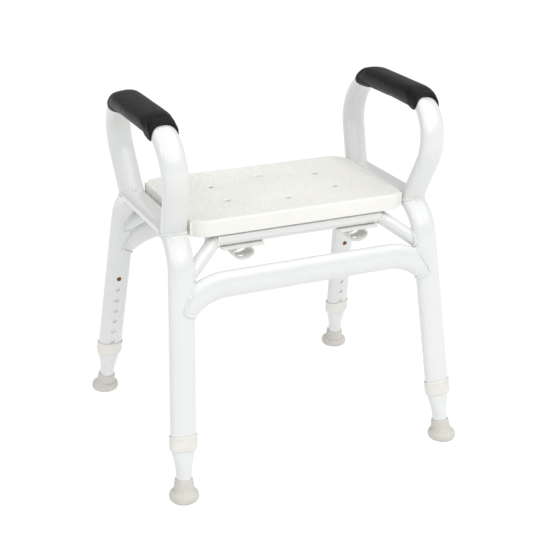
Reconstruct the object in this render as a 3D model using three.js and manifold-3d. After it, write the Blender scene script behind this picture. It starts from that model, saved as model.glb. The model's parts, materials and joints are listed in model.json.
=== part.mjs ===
// A height-adjustable shower chair with arms: two bent oval-tube side frames, welded armrest loops,
// arched end rails, a thin seat frame under a moulded seat, and four telescopic legs on rubber feet.
// Millimetres, +Z up, floor at z = 0, the front of the chair towards -Y, origin midway between the feet.
import * as THREE from 'three';
import { mergeVertices } from 'three/addons/utils/BufferGeometryUtils.js';
import Module from 'manifold-3d';

const manifold = await Module();
manifold.setup();

// ---------------------------------------------------------------- driving dimensions

const GAP = 0.3;                 // between pieces that touch or are welded
const DEG = Math.PI / 180;

// Stance of the side frames
const FOOT_SPACING_X = 539;      // between foot centres, left to right
const FOOT_SPACING_Y = 448;      // between foot centres, front to rear
const SIDE_RAIL_HEIGHT = 459;    // centre line of the side rails above the floor
const FRAME_LEAN = 3.8 * DEG;    // each side frame leans inwards going up
const LEG_SPLAY = 10.3 * DEG;    // legs spread front to rear going down
const SIDE_BEND_RADIUS = 72;

// Tubes
const OVAL_WIDTH = 47;
const OVAL_DEPTH = 25.4;
const OVAL_WALL = 1.5;
const THIN_DIAMETER = 25.4;
const THIN_WALL = 1.2;

// Armrest loops, welded on the bends of the side frames
const ARM_HEIGHT = 646;          // centre line of the grip above the floor
const ARM_LEAN = 5 * DEG;        // each loop leans outwards going up
const ARM_POST_TILT = 22.5 * DEG;
const ARM_ROOT_SPACING = 213;    // between post centre lines at the side rail's centre line
const ARM_BEND_RADIUS = 79;
const PAD_THICKNESS = 6.3;
const PAD_LENGTH = 224;          // measured along the grip's centre line

// Arched rails between the legs, front and rear
const END_RAIL_HEIGHT = 370;     // centre line of the straight middle
const END_RAIL_STRAIGHT = 322;
const END_RAIL_BEND_RADIUS = 113;
const END_RAIL_DROP_ANGLE = 36 * DEG;

// Thin seat frame
const HOOP_SPACING = 326;        // between the two fore-and-aft runs
const CROSS_TUBE_SPACING = 226;  // between the front and rear cross tubes
const SEAT_FRAME_HEIGHT = 437;
const HOOP_BEND_RADIUS = 38;
const HOOP_ROOT_HEIGHT = 377;    // where the hoop's centre line meets the leg's

// Seat
const SEAT_SIDE_CLEARANCE = 2;   // between the seat's edge and each side rail
const SEAT_DEPTH = 257;
const SEAT_TOP_HEIGHT = 478.5;
const SEAT_RIM_HEIGHT = 29;
const SEAT_CORNER_RADIUS = 34;
const SEAT_SKIN = 4;
const SEAT_EDGE_RADIUS = 3;
const SEAT_EDGE_STEP = 0.9;      // middle step of the rounded top edge
const DRAIN_DIAMETER = 11.5;
const DRAIN_SPACING_X = 109;     // from the middle column to the outer ones
const DRAIN_SPACING_Y = 80;      // between the two holes of an outer column
const DRAIN_MIDDLE_SPACING_Y = 132;
const SEAT_RIB_THICKNESS = 3;

// Seat clips under the cross tubes
const CLIP_SPACING = 230;
const CLIP_PLATE = { width: 81, depth: 36, thickness: 3 };
const CLIP_LOOP = { width: 41, height: 25, wall: 2.4, depth: 31 };
const SEAT_SCREW = { shank: 4.5, head: 9, headHeight: 3, depthInSeat: 14, point: 3 };
const SCREW_ACCESS = 11;         // hole in the loop's bottom for the driver
const SEAT_BOSS_DIAMETER = 12;

// Telescopic legs, measured up each leg from the floor
const LEG_TUBE_START = 94;
const HOLE_PITCH = 25;
const HOLE_COUNT = 7;
const TOP_HOLE_HEIGHT = 273;
const HOLE_DIAMETER = 9;
const EXTENSION_TOP = 312;
const EXTENSION_BOTTOM = 9;
const EXTENSION_CLEARANCE = 0.5; // between inner and outer tube
const EXTENSION_WALL = 1.2;
const SWAGE_LENGTH = 36;         // where the inner tube is drawn down, just below the collar
const STEM_DIAMETER = 28.6;      // the inner tube's lower end
const STEM_HALF_FLAT = 1;        // what is left there of the oval's straight sides
const COLLAR_HEIGHT = 27.6;      // its top stays just under the button in the lowest hole
const COLLAR_WALL = 1.7;
const COLLAR_LIP = 3;            // ledge under the end of the leg tube
const COLLAR_BEAD = 0.8;         // the rim around its top stands this proud

// Rubber feet
const FOOT_DIAMETER = 53;
const FOOT_BASE_HEIGHT = 15;
const FOOT_NECK_DIAMETER = 38;
const FOOT_NECK_TOP_DIAMETER = 32;
const FOOT_HEIGHT = 38;
const FOOT_SOCKET_CLEARANCE = 0.5;

// Push buttons and their springs
const BUTTON_DIAMETER = 8.2;
const BUTTON_TRAVEL = 5;
const BUTTON_FLANGE = { diameter: 13, thickness: 1.5 };
const BUTTON_STANDOFF = 2.6;     // dome above the leg's face
const SPRING_STRIP = { width: 9, thickness: 0.8, length: 46 };

// Facets
const OVAL_ARC_STEPS = 5;
const ROUND_SIDES = 12;
const SMALL_SIDES = 8;
const FOOT_SIDES = 20;
const BEND_STEP = 15 * DEG;

// ---------------------------------------------------------------- derived places

const FOOT_X = FOOT_SPACING_X / 2;
const FOOT_Y = FOOT_SPACING_Y / 2;
const SIDE_RAIL_X = FOOT_X - SIDE_RAIL_HEIGHT * Math.tan(FRAME_LEAN);
const SEAT_WIDTH = 2 * (SIDE_RAIL_X - OVAL_WIDTH / 2 - SEAT_SIDE_CLEARANCE);
const OVAL_INNER = { width: OVAL_WIDTH - 2 * OVAL_WALL, depth: OVAL_DEPTH - 2 * OVAL_WALL };
const EXTENSION_OUTER = {
  width: OVAL_INNER.width - 2 * EXTENSION_CLEARANCE,
  depth: OVAL_INNER.depth - 2 * EXTENSION_CLEARANCE,
};
const COLLAR_BOTTOM = LEG_TUBE_START - GAP - COLLAR_LIP;
const SWAGE_TOP = COLLAR_BOTTOM - GAP;
const SWAGE_BOTTOM = SWAGE_TOP - SWAGE_LENGTH;
const SIDES = [{ name: 'left', x: -1 }, { name: 'right', x: 1 }];
const ENDS = [{ name: 'front', y: -1 }, { name: 'rear', y: 1 }];

// ---------------------------------------------------------------- materials

const finish = (color, roughness, metalness = 0) => () =>
  new THREE.MeshStandardMaterial({ color, roughness, metalness });
const powderCoat = finish(0xf1f4f6, 0.28);
const seatPlastic = finish(0xefece4, 0.55);
const clipPlastic = finish(0xe6e4df, 0.5);
const collarPlastic = finish(0xe9e4d8, 0.5);
const footRubber = finish(0xdcd3c0, 0.75);
const padVinyl = finish(0x141416, 0.5);
const buttonBrass = finish(0x8a6238, 0.35, 1);
const springSteel = finish(0xb9bcc0, 0.35, 1);
const zincSteel = finish(0xc4c7ca, 0.4, 1);

// ---------------------------------------------------------------- paths and sections

// A planar centre line of straights and arcs, walked by its stations, whose section never twists.
class BentPath extends THREE.Curve {
  constructor(stations, across) {
    super();
    this.stations = stations;
    this.across = across;
  }

  get steps() {
    return this.stations.length - 1;
  }

  at(t) {
    const place = Math.min(Math.max(t, 0), 1) * this.steps;
    const index = Math.min(Math.floor(place), this.steps - 1);
    return { from: this.stations[index], to: this.stations[index + 1], part: place - index };
  }

  getPoint(t, target = new THREE.Vector3()) {
    const { from, to, part } = this.at(t);
    return target.lerpVectors(from.point, to.point, part);
  }

  getTangent(t, target = new THREE.Vector3()) {
    const { from, to, part } = this.at(t);
    return target.lerpVectors(from.tangent, to.tangent, part).normalize();
  }

  getUtoTmapping(u) {
    return u;
  }

  computeFrenetFrames(segments) {
    const frames = { tangents: [], normals: [], binormals: [] };
    for (let i = 0; i <= segments; i++) {
      const tangent = this.getTangent(i / segments);
      frames.tangents.push(tangent);
      frames.normals.push(this.across.clone());
      frames.binormals.push(new THREE.Vector3().crossVectors(tangent, this.across).normalize());
    }
    return frames;
  }
}

// Rounds the corners of a polyline with arcs of one radius and returns its stations.
function bentStations(corners, radius) {
  const stations = [];
  const direction = (a, b) => new THREE.Vector3().subVectors(b, a).normalize();
  stations.push({ point: corners[0].clone(), tangent: direction(corners[0], corners[1]) });
  for (let i = 1; i < corners.length - 1; i++) {
    const arriving = direction(corners[i - 1], corners[i]);
    const leaving = direction(corners[i], corners[i + 1]);
    const turn = arriving.angleTo(leaving);
    const cutBack = radius * Math.tan(turn / 2);
    const inward = leaving.clone().addScaledVector(arriving, -leaving.dot(arriving)).normalize();
    const start = corners[i].clone().addScaledVector(arriving, -cutBack);
    const steps = Math.max(2, Math.ceil(turn / BEND_STEP));
    for (let k = 0; k <= steps; k++) {
      const angle = (turn * k) / steps;
      const point = start.clone()
        .addScaledVector(arriving, radius * Math.sin(angle))
        .addScaledVector(inward, radius * (1 - Math.cos(angle)));
      const tangent = arriving.clone().multiplyScalar(Math.cos(angle))
        .addScaledVector(inward, Math.sin(angle)).normalize();
      stations.push({ point, tangent });
    }
  }
  const last = corners.length - 1;
  stations.push({ point: corners[last].clone(), tangent: direction(corners[last - 1], corners[last]) });
  return stations;
}

// The middle stretch of a row of stations, of the given length along the centre line.
function middleStretch(stations, length) {
  const distances = [0];
  for (let i = 1; i < stations.length; i++) {
    distances.push(distances[i - 1] + stations[i].point.distanceTo(stations[i - 1].point));
  }
  const total = distances[distances.length - 1];
  const from = (total - length) / 2;
  const to = (total + length) / 2;
  const stationAt = (distance) => {
    const next = distances.findIndex((d) => d > distance);
    const part = (distance - distances[next - 1]) / (distances[next] - distances[next - 1]);
    const [a, b] = [stations[next - 1], stations[next]];
    return {
      point: new THREE.Vector3().lerpVectors(a.point, b.point, part),
      tangent: new THREE.Vector3().lerpVectors(a.tangent, b.tangent, part).normalize(),
    };
  };
  const clear = 0.5;
  const kept = stations.filter((_, i) => distances[i] > from + clear && distances[i] < to - clear);
  return [stationAt(from), ...kept, stationAt(to)];
}

// A flat-sided oval: two half circles joined by straights, with its width along x.
function ovalPoints(width, depth) {
  const radius = depth / 2;
  const centre = (width - depth) / 2;
  const points = [];
  for (const side of [1, -1]) {
    for (let i = 0; i <= OVAL_ARC_STEPS; i++) {
      const angle = Math.PI * (i / OVAL_ARC_STEPS - 0.5);
      const point = new THREE.Vector2(centre + radius * Math.cos(angle), radius * Math.sin(angle));
      points.push(point.multiplyScalar(side));
    }
  }
  return points;
}

function roundPoints(diameter, sides = ROUND_SIDES) {
  const points = [];
  for (let i = 0; i < sides; i++) {
    const angle = (2 * Math.PI * i) / sides;
    points.push(new THREE.Vector2(Math.cos(angle), Math.sin(angle)).multiplyScalar(diameter / 2));
  }
  return points;
}

// A section from an outer outline and, where there is a bore, an inner one.
function section(outer, inner) {
  const shape = new THREE.Shape(outer);
  if (inner) shape.holes.push(new THREE.Path(inner));
  return shape;
}

const ovalSection = (grow = 0) => section(ovalPoints(OVAL_WIDTH + 2 * grow, OVAL_DEPTH + 2 * grow));
const ovalTubeSection = () => section(
  ovalPoints(OVAL_WIDTH, OVAL_DEPTH),
  ovalPoints(OVAL_INNER.width, OVAL_INNER.depth),
);
const thinSection = (grow = 0) => section(roundPoints(THIN_DIAMETER + 2 * grow));
const thinTubeSection = () => section(roundPoints(THIN_DIAMETER), roundPoints(THIN_DIAMETER - 2 * THIN_WALL));

function sweep(shape, path) {
  return new THREE.ExtrudeGeometry(shape, { steps: path.steps, bevelEnabled: false, extrudePath: path });
}

// A section pushed straight up from one height to another.
function upright(shape, bottom, top, steps = 1) {
  const geometry = new THREE.ExtrudeGeometry(shape, { depth: top - bottom, steps, bevelEnabled: false });
  return geometry.translate(0, 0, bottom);
}

// ---------------------------------------------------------------- solids

// Turns a closed geometry, placed by a group, into a solid in the chair's own frame.
function solid(geometry, group) {
  const bare = geometry.clone();
  bare.deleteAttribute('normal');
  bare.deleteAttribute('uv');
  if (group) {
    group.updateWorldMatrix(true, false);
    bare.applyMatrix4(group.matrixWorld);
  }
  const merged = mergeVertices(bare, 1e-4);
  return new manifold.Manifold(new manifold.Mesh({
    numProp: 3,
    vertProperties: new Float32Array(merged.attributes.position.array),
    triVerts: new Uint32Array(merged.index.array),
  }));
}

function solidGeometry(piece) {
  const mesh = piece.getMesh();
  const geometry = new THREE.BufferGeometry();
  geometry.setAttribute('position', new THREE.BufferAttribute(new Float32Array(mesh.vertProperties), 3));
  geometry.setIndex(new THREE.BufferAttribute(new Uint32Array(mesh.triVerts), 1));
  geometry.computeVertexNormals();
  return geometry;
}

const cutAll = (piece, cutters) => cutters.reduce((rest, cutter) => rest.subtract(cutter), piece);
const joinAll = (pieces) => pieces.reduce((whole, piece) => whole.add(piece));

const chair = new THREE.Group();

function addNode(name, geometry, material, group = chair) {
  const mesh = new THREE.Mesh(geometry, material());
  mesh.name = name;
  group.add(mesh);
}

const addSolid = (name, piece, material) => addNode(name, solidGeometry(piece), material);

// ---------------------------------------------------------------- frames of reference

// Each side frame is flat in its own leaning plane, whose group stands on the floor line.
function sideGroup(side) {
  const group = new THREE.Group();
  group.position.x = side.x * FOOT_X;
  group.rotation.y = -side.x * FRAME_LEAN;
  chair.add(group);
  return group;
}

// A leg's group has its foot at the origin and the leg's centre line up +Z.
function legGroup(side, end, parent) {
  const group = new THREE.Group();
  group.position.y = end.y * FOOT_Y;
  group.rotation.x = end.y * LEG_SPLAY;
  parent.add(group);
  return { side, end, group, inward: -end.y };
}

function armGroup(side) {
  const group = new THREE.Group();
  group.position.set(side.x * SIDE_RAIL_X, 0, SIDE_RAIL_HEIGHT);
  group.rotation.y = side.x * ARM_LEAN;
  chair.add(group);
  return group;
}

// A point of a leg's centre line at a given height above the floor.
function legPoint(leg, height) {
  leg.group.updateWorldMatrix(true, false);
  const foot = new THREE.Vector3().applyMatrix4(leg.group.matrixWorld);
  const up = new THREE.Vector3(0, 0, 1).transformDirection(leg.group.matrixWorld);
  return foot.addScaledVector(up, height / up.z);
}

const X_AXIS = new THREE.Vector3(1, 0, 0);
const Y_AXIS = new THREE.Vector3(0, 1, 0);

// ---------------------------------------------------------------- side frames

function sideFramePath() {
  const railHeight = SIDE_RAIL_HEIGHT / Math.cos(FRAME_LEAN);
  const cornerY = FOOT_Y - railHeight * Math.tan(LEG_SPLAY);
  const endHeight = LEG_TUBE_START * Math.cos(LEG_SPLAY);
  const endY = FOOT_Y - endHeight * Math.tan(LEG_SPLAY);
  const corners = [
    new THREE.Vector3(0, -endY, endHeight),
    new THREE.Vector3(0, -cornerY, railHeight),
    new THREE.Vector3(0, cornerY, railHeight),
    new THREE.Vector3(0, endY, endHeight),
  ];
  return new BentPath(bentStations(corners, SIDE_BEND_RADIUS), X_AXIS);
}

// A short rod across one wall of a leg, on the wall that faces the middle of the chair.
function wallRod(leg, diameter, height, from, to) {
  const rod = new THREE.CylinderGeometry(diameter / 2, diameter / 2, to - from, SMALL_SIDES);
  rod.translate(0, leg.inward * (from + to) / 2, height);
  return rod;
}

const holeHeights = Array.from({ length: HOLE_COUNT }, (_, i) => TOP_HOLE_HEIGHT - i * HOLE_PITCH);

function sideFrameSolid(group, legs) {
  const tube = solid(sweep(ovalTubeSection(), sideFramePath()), group);
  const holes = legs.flatMap((leg) => holeHeights.map((height) =>
    solid(wallRod(leg, HOLE_DIAMETER, height, OVAL_DEPTH / 4, OVAL_DEPTH), leg.group)));
  return cutAll(tube, holes);
}

const sideFrameEnvelope = (group) => solid(sweep(ovalSection(GAP), sideFramePath()), group);

// ---------------------------------------------------------------- armrest loops

function armStations() {
  const rise = (ARM_HEIGHT - SIDE_RAIL_HEIGHT) / Math.cos(ARM_LEAN);
  const rootY = ARM_ROOT_SPACING / 2;
  const cornerY = rootY + rise * Math.tan(ARM_POST_TILT);
  return bentStations([
    new THREE.Vector3(0, -rootY, 0),
    new THREE.Vector3(0, -cornerY, rise),
    new THREE.Vector3(0, cornerY, rise),
    new THREE.Vector3(0, rootY, 0),
  ], ARM_BEND_RADIUS);
}

const armPath = () => new BentPath(armStations(), X_AXIS);
const padPath = () => new BentPath(middleStretch(armStations(), PAD_LENGTH), X_AXIS);

const padSection = () => section(
  ovalPoints(OVAL_WIDTH + 2 * PAD_THICKNESS, OVAL_DEPTH + 2 * PAD_THICKNESS),
  ovalPoints(OVAL_WIDTH + 2 * GAP, OVAL_DEPTH + 2 * GAP),
);

// ---------------------------------------------------------------- end rails

// Each end rail is flat in the plane of the two legs that it joins.
function railGroup(end, legs) {
  const leg = legs.find((l) => l.end === end);
  const up = new THREE.Vector3().subVectors(legPoint(leg, 1), legPoint(leg, 0));
  const group = new THREE.Group();
  group.position.y = end.y * FOOT_Y;
  group.rotation.x = -Math.atan2(up.y, up.z);
  chair.add(group);
  return group;
}

function endRailPath(end, legs, slope) {
  const leg = legs.find((l) => l.end === end);
  const jointHeight = END_RAIL_HEIGHT - END_RAIL_BEND_RADIUS * (1 - Math.cos(END_RAIL_DROP_ANGLE));
  const bendWidth = END_RAIL_BEND_RADIUS * Math.tan(END_RAIL_DROP_ANGLE / 2);
  const cornerX = END_RAIL_STRAIGHT / 2 + bendWidth;
  const endX = legPoint(leg, jointHeight).x * leg.side.x;
  const tailDrop = (endX - cornerX) * Math.tan(END_RAIL_DROP_ANGLE);
  const corners = [
    new THREE.Vector3(-endX, 0, (END_RAIL_HEIGHT - tailDrop) / slope),
    new THREE.Vector3(-cornerX, 0, END_RAIL_HEIGHT / slope),
    new THREE.Vector3(cornerX, 0, END_RAIL_HEIGHT / slope),
    new THREE.Vector3(endX, 0, (END_RAIL_HEIGHT - tailDrop) / slope),
  ];
  return new BentPath(bentStations(corners, END_RAIL_BEND_RADIUS), Y_AXIS);
}

// The rails stand their oval on edge, so their sections are turned a quarter.
const quarterTurn = (points) => points.map((p) => new THREE.Vector2(-p.y, p.x));
const railTubeSection = () => section(
  quarterTurn(ovalPoints(OVAL_WIDTH, OVAL_DEPTH)),
  quarterTurn(ovalPoints(OVAL_INNER.width, OVAL_INNER.depth)),
);
const railSection = (grow) => section(
  quarterTurn(ovalPoints(OVAL_WIDTH + 2 * grow, OVAL_DEPTH + 2 * grow)),
);

// ---------------------------------------------------------------- seat screws and levels

const clipPlaces = ENDS.flatMap((end) => SIDES.map((side) => ({
  name: `${end.name}_${side.name}`,
  x: side.x * CLIP_SPACING / 2,
  y: end.y * CROSS_TUBE_SPACING / 2,
})));

const tubeTop = SEAT_FRAME_HEIGHT + THIN_DIAMETER / 2;
const clipTop = SEAT_FRAME_HEIGHT - THIN_DIAMETER / 2 - GAP;
const seatRimBottom = SEAT_TOP_HEIGHT - SEAT_RIM_HEIGHT;

function column(diameter, x, y, bottom, top, sides = SMALL_SIDES) {
  return upright(section(roundPoints(diameter, sides)), bottom, top).translate(x, y, 0);
}

// The clearance holes for the seat screws, from one height to another.
const screwHoles = (bottom, top) => clipPlaces.map((clip) =>
  solid(column(SEAT_SCREW.shank + 2 * GAP, clip.x, clip.y, bottom, top)));

// ---------------------------------------------------------------- thin seat frame

// What a hoop's end loses around the middle of a leg, however much thicker than the leg the hoop is.
function hoopTrim(leg) {
  const width = OVAL_WIDTH - OVAL_DEPTH / 2;
  const depth = Math.max(OVAL_DEPTH, THIN_DIAMETER) + 2 * GAP;
  const x = leg.side.x * OVAL_DEPTH / 4;
  return block(width, depth, x, 0, HOOP_ROOT_HEIGHT - THIN_DIAMETER, HOOP_ROOT_HEIGHT + THIN_DIAMETER);
}

function hoopPath(side, legs) {
  const [front, rear] = ENDS.map((end) =>
    legPoint(legs.find((l) => l.side === side && l.end === end), HOOP_ROOT_HEIGHT));
  const x = side.x * HOOP_SPACING / 2;
  const y = CROSS_TUBE_SPACING / 2;
  const corners = [
    front,
    new THREE.Vector3(x, -y, SEAT_FRAME_HEIGHT),
    new THREE.Vector3(x, y, SEAT_FRAME_HEIGHT),
    rear,
  ];
  const drop = new THREE.Vector3().subVectors(front, corners[1]);
  const across = new THREE.Vector3().crossVectors(Y_AXIS, drop).normalize();
  return new BentPath(bentStations(corners, HOOP_BEND_RADIUS), across);
}

function crossTubePath(end) {
  const y = end.y * CROSS_TUBE_SPACING / 2;
  const reach = HOOP_SPACING / 2;
  const corners = [-reach, reach].map((x) => new THREE.Vector3(x, y, SEAT_FRAME_HEIGHT));
  return new BentPath(bentStations(corners, 0), Y_AXIS);
}

// ---------------------------------------------------------------- seat

function roundedRectangle(width, depth, radius) {
  const shape = new THREE.Shape();
  const [x, y] = [width / 2, depth / 2];
  shape.absarc(x - radius, y - radius, radius, 0, Math.PI / 2);
  shape.absarc(-x + radius, y - radius, radius, Math.PI / 2, Math.PI);
  shape.absarc(-x + radius, -y + radius, radius, Math.PI, 1.5 * Math.PI);
  shape.absarc(x - radius, -y + radius, radius, 1.5 * Math.PI, 2 * Math.PI);
  return shape;
}

function seatPlate(inset, bottom, top) {
  const shape = roundedRectangle(SEAT_WIDTH - 2 * inset, SEAT_DEPTH - 2 * inset, SEAT_CORNER_RADIUS - inset);
  const geometry = new THREE.ExtrudeGeometry(shape, {
    depth: top - bottom, bevelEnabled: false, curveSegments: 5,
  });
  return geometry.translate(0, 0, bottom);
}

const drainPlaces = [
  [0, -DRAIN_MIDDLE_SPACING_Y / 2],
  [0, DRAIN_MIDDLE_SPACING_Y / 2],
  ...SIDES.flatMap((side) => ENDS.map((end) => [side.x * DRAIN_SPACING_X, end.y * DRAIN_SPACING_Y / 2])),
];

function block(width, depth, x, y, bottom, top) {
  return new THREE.BoxGeometry(width, depth, top - bottom).translate(x, y, (bottom + top) / 2);
}

function seatSolid() {
  const top = SEAT_TOP_HEIGHT;
  const shoulder = top - SEAT_EDGE_RADIUS;
  const shell = joinAll([
    solid(seatPlate(0, seatRimBottom, shoulder)),
    solid(seatPlate(SEAT_EDGE_STEP, shoulder - 1, top - SEAT_EDGE_STEP)),
    solid(seatPlate(SEAT_EDGE_RADIUS, shoulder - 1, top)),
  ]);
  const underside = top - SEAT_SKIN;
  const hollow = solid(seatPlate(SEAT_SKIN, seatRimBottom - 1, underside));
  const ribBottom = tubeTop + GAP;
  const ribTop = underside + 1;
  const ribs = [];
  for (const x of [-HOOP_SPACING / 2, -DRAIN_SPACING_X / 2, DRAIN_SPACING_X / 2, HOOP_SPACING / 2]) {
    ribs.push(solid(block(SEAT_RIB_THICKNESS, SEAT_DEPTH - SEAT_SKIN, x, 0, ribBottom, ribTop)));
  }
  for (const y of [-CROSS_TUBE_SPACING / 2, 0, CROSS_TUBE_SPACING / 2]) {
    ribs.push(solid(block(SEAT_WIDTH - SEAT_SKIN, SEAT_RIB_THICKNESS, 0, y, ribBottom, ribTop)));
  }
  const bosses = clipPlaces.map((clip) =>
    solid(column(SEAT_BOSS_DIAMETER, clip.x, clip.y, ribBottom, ribTop)));
  const pilotHoles = screwHoles(seatRimBottom - 1, tubeTop + SEAT_SCREW.depthInSeat + 1);
  const drains = drainPlaces.map(([x, y]) =>
    solid(column(DRAIN_DIAMETER, x, y, underside - 2, top + 1)));
  return cutAll(joinAll([shell.subtract(hollow), ...ribs, ...bosses]), [...pilotHoles, ...drains]);
}

// ---------------------------------------------------------------- seat clips and their screws

function ellipsePoints(width, height, sides) {
  return roundPoints(1, sides).map((p) => new THREE.Vector2(p.x * width, p.y * height));
}

// A flat plate with a flattened loop hanging from its middle, open front and rear.
function clipSolid(clip) {
  const { width, depth, thickness } = CLIP_PLATE;
  const plate = solid(block(width, depth, clip.x, clip.y, clipTop - thickness, clipTop));
  const loopSides = 16;
  const ring = section(
    ellipsePoints(CLIP_LOOP.width, CLIP_LOOP.height, loopSides),
    ellipsePoints(CLIP_LOOP.width - 2 * CLIP_LOOP.wall, CLIP_LOOP.height - 2 * CLIP_LOOP.wall, loopSides),
  );
  const loop = new THREE.ExtrudeGeometry(ring, { depth: CLIP_LOOP.depth, bevelEnabled: false })
    .translate(0, 0, -CLIP_LOOP.depth / 2)
    .rotateX(Math.PI / 2)
    .translate(clip.x, clip.y, clipTop - CLIP_LOOP.wall / 2 - CLIP_LOOP.height / 2);
  const underPlate = clipTop - thickness;
  const accessHole = solid(column(SCREW_ACCESS, clip.x, clip.y, clipTop - 2 * CLIP_LOOP.height, underPlate));
  return cutAll(plate.add(solid(loop)), [...screwHoles(underPlate - 1, clipTop + 1), accessHole]);
}

function screwGeometry(clip) {
  const { headHeight, depthInSeat, point } = SEAT_SCREW;
  const [shank, head] = [SEAT_SCREW.shank / 2, SEAT_SCREW.head / 2];
  const seatedAt = clipTop - CLIP_PLATE.thickness - GAP;
  const length = tubeTop + depthInSeat - seatedAt;
  const profile = [
    [0, -headHeight], [head * 0.7, -headHeight], [head, -headHeight / 3], [head, 0],
    [shank, 0], [shank, length - point], [0, length],
  ].map(([r, z]) => new THREE.Vector2(r, z));
  return new THREE.LatheGeometry(profile, SMALL_SIDES)
    .rotateX(Math.PI / 2)
    .translate(clip.x, clip.y, seatedAt);
}

// ---------------------------------------------------------------- leg parts, in the leg's own frame

// The inner tube: oval where it slides in the leg, drawn down to a round stem for the foot.
function extensionGeometry() {
  const { width, depth } = EXTENSION_OUTER;
  const inner = { width: width - 2 * EXTENSION_WALL, depth: depth - 2 * EXTENSION_WALL };
  const heights = [EXTENSION_BOTTOM, SWAGE_BOTTOM, SWAGE_TOP, EXTENSION_TOP];
  const shape = section(ovalPoints(width, depth), ovalPoints(inner.width, inner.depth));
  const geometry = upright(shape, 0, heights.length - 1, heights.length - 1);
  const position = geometry.attributes.position;
  const halfFlat = (width - depth) / 2;
  for (let i = 0; i < position.count; i++) {
    const [x, y] = [position.getX(i), position.getY(i)];
    const height = heights[Math.round(position.getZ(i))];
    if (height > SWAGE_BOTTOM) {
      position.setZ(i, height);
      continue;
    }
    const side = Math.sign(x);
    const radius = Math.hypot(x - side * halfFlat, y);
    const wallIn = radius < depth / 2 - EXTENSION_WALL / 2 ? EXTENSION_WALL : 0;
    const grow = (STEM_DIAMETER / 2 - STEM_HALF_FLAT - wallIn) / radius;
    position.setXYZ(i, side * STEM_HALF_FLAT + (x - side * halfFlat) * grow, y * grow, height);
  }
  return geometry;
}

function extensionSolid(leg) {
  const bore = wallRod(leg, HOLE_DIAMETER, TOP_HOLE_HEIGHT, 0, OVAL_DEPTH / 2);
  return solid(extensionGeometry()).subtract(solid(bore));
}

// A plastic end ferrule that caps the leg tube and guides the inner tube.
function collarSolid() {
  const outer = section(ovalPoints(OVAL_WIDTH + 2 * COLLAR_WALL, OVAL_DEPTH + 2 * COLLAR_WALL));
  const proud = 2 * (COLLAR_WALL + COLLAR_BEAD);
  const bead = section(ovalPoints(OVAL_WIDTH + proud, OVAL_DEPTH + proud));
  const foot = section(ovalPoints(OVAL_WIDTH, OVAL_DEPTH));
  const top = COLLAR_BOTTOM + COLLAR_HEIGHT;
  const body = joinAll([
    solid(upright(foot, COLLAR_BOTTOM, COLLAR_BOTTOM + COLLAR_LIP)),
    solid(upright(outer, COLLAR_BOTTOM + COLLAR_LIP / 2, top)),
    solid(upright(bead, top - COLLAR_LIP, top)),
  ]);
  const socket = section(ovalPoints(OVAL_WIDTH + 2 * GAP, OVAL_DEPTH + 2 * GAP));
  const guide = section(ovalPoints(EXTENSION_OUTER.width + 2 * GAP, EXTENSION_OUTER.depth + 2 * GAP));
  return cutAll(body, [
    solid(upright(socket, LEG_TUBE_START - GAP, top + 1)),
    solid(upright(guide, COLLAR_BOTTOM - 1, top)),
  ]);
}

// The button's dome, shank and inner flange, lying along the leg's inward direction.
function buttonGeometry(leg) {
  const faceOuter = OVAL_DEPTH / 2;
  const flangeTop = EXTENSION_OUTER.depth / 2 - EXTENSION_WALL - GAP;
  const flangeBottom = flangeTop - BUTTON_FLANGE.thickness;
  const radius = BUTTON_DIAMETER / 2;
  const domeTop = faceOuter + BUTTON_STANDOFF;
  const profile = [
    [0, flangeBottom], [BUTTON_FLANGE.diameter / 2, flangeBottom], [BUTTON_FLANGE.diameter / 2, flangeTop],
    [radius, flangeTop], [radius, domeTop - 1.6], [radius * 0.86, domeTop - 0.7],
    [radius * 0.5, domeTop - 0.15], [0, domeTop],
  ].map(([r, d]) => new THREE.Vector2(r, d));
  const geometry = new THREE.LatheGeometry(profile, SMALL_SIDES);
  if (leg.inward < 0) geometry.rotateX(Math.PI);
  return geometry.translate(0, 0, TOP_HOLE_HEIGHT);
}

// A hairpin leaf spring inside the inner tube, drawn with its live arm pressed home.
function springGeometry(leg) {
  const back = -(EXTENSION_OUTER.depth / 2 - EXTENSION_WALL - GAP);
  const flangeBottom = -back - BUTTON_FLANGE.thickness;
  const front = flangeBottom - BUTTON_TRAVEL - GAP;
  const { width, thickness, length } = SPRING_STRIP;
  const outline = new THREE.Shape();
  const turn = (front - back) / 2;
  outline.moveTo(0, back);
  outline.absarc(length, back + turn, turn, -Math.PI / 2, Math.PI / 2, false);
  outline.lineTo(0, front);
  outline.lineTo(0, front - thickness);
  outline.absarc(length, back + turn, turn - thickness, Math.PI / 2, -Math.PI / 2, true);
  outline.lineTo(0, back + thickness);
  outline.closePath();
  const geometry = new THREE.ExtrudeGeometry(outline, { depth: width, bevelEnabled: false, curveSegments: 4 })
    .translate(0, 0, -width / 2)
    .rotateY(Math.PI / 2)
    .translate(0, 0, length / 5);
  if (leg.inward < 0) geometry.rotateZ(Math.PI);
  return geometry.translate(0, 0, TOP_HOLE_HEIGHT);
}

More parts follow.
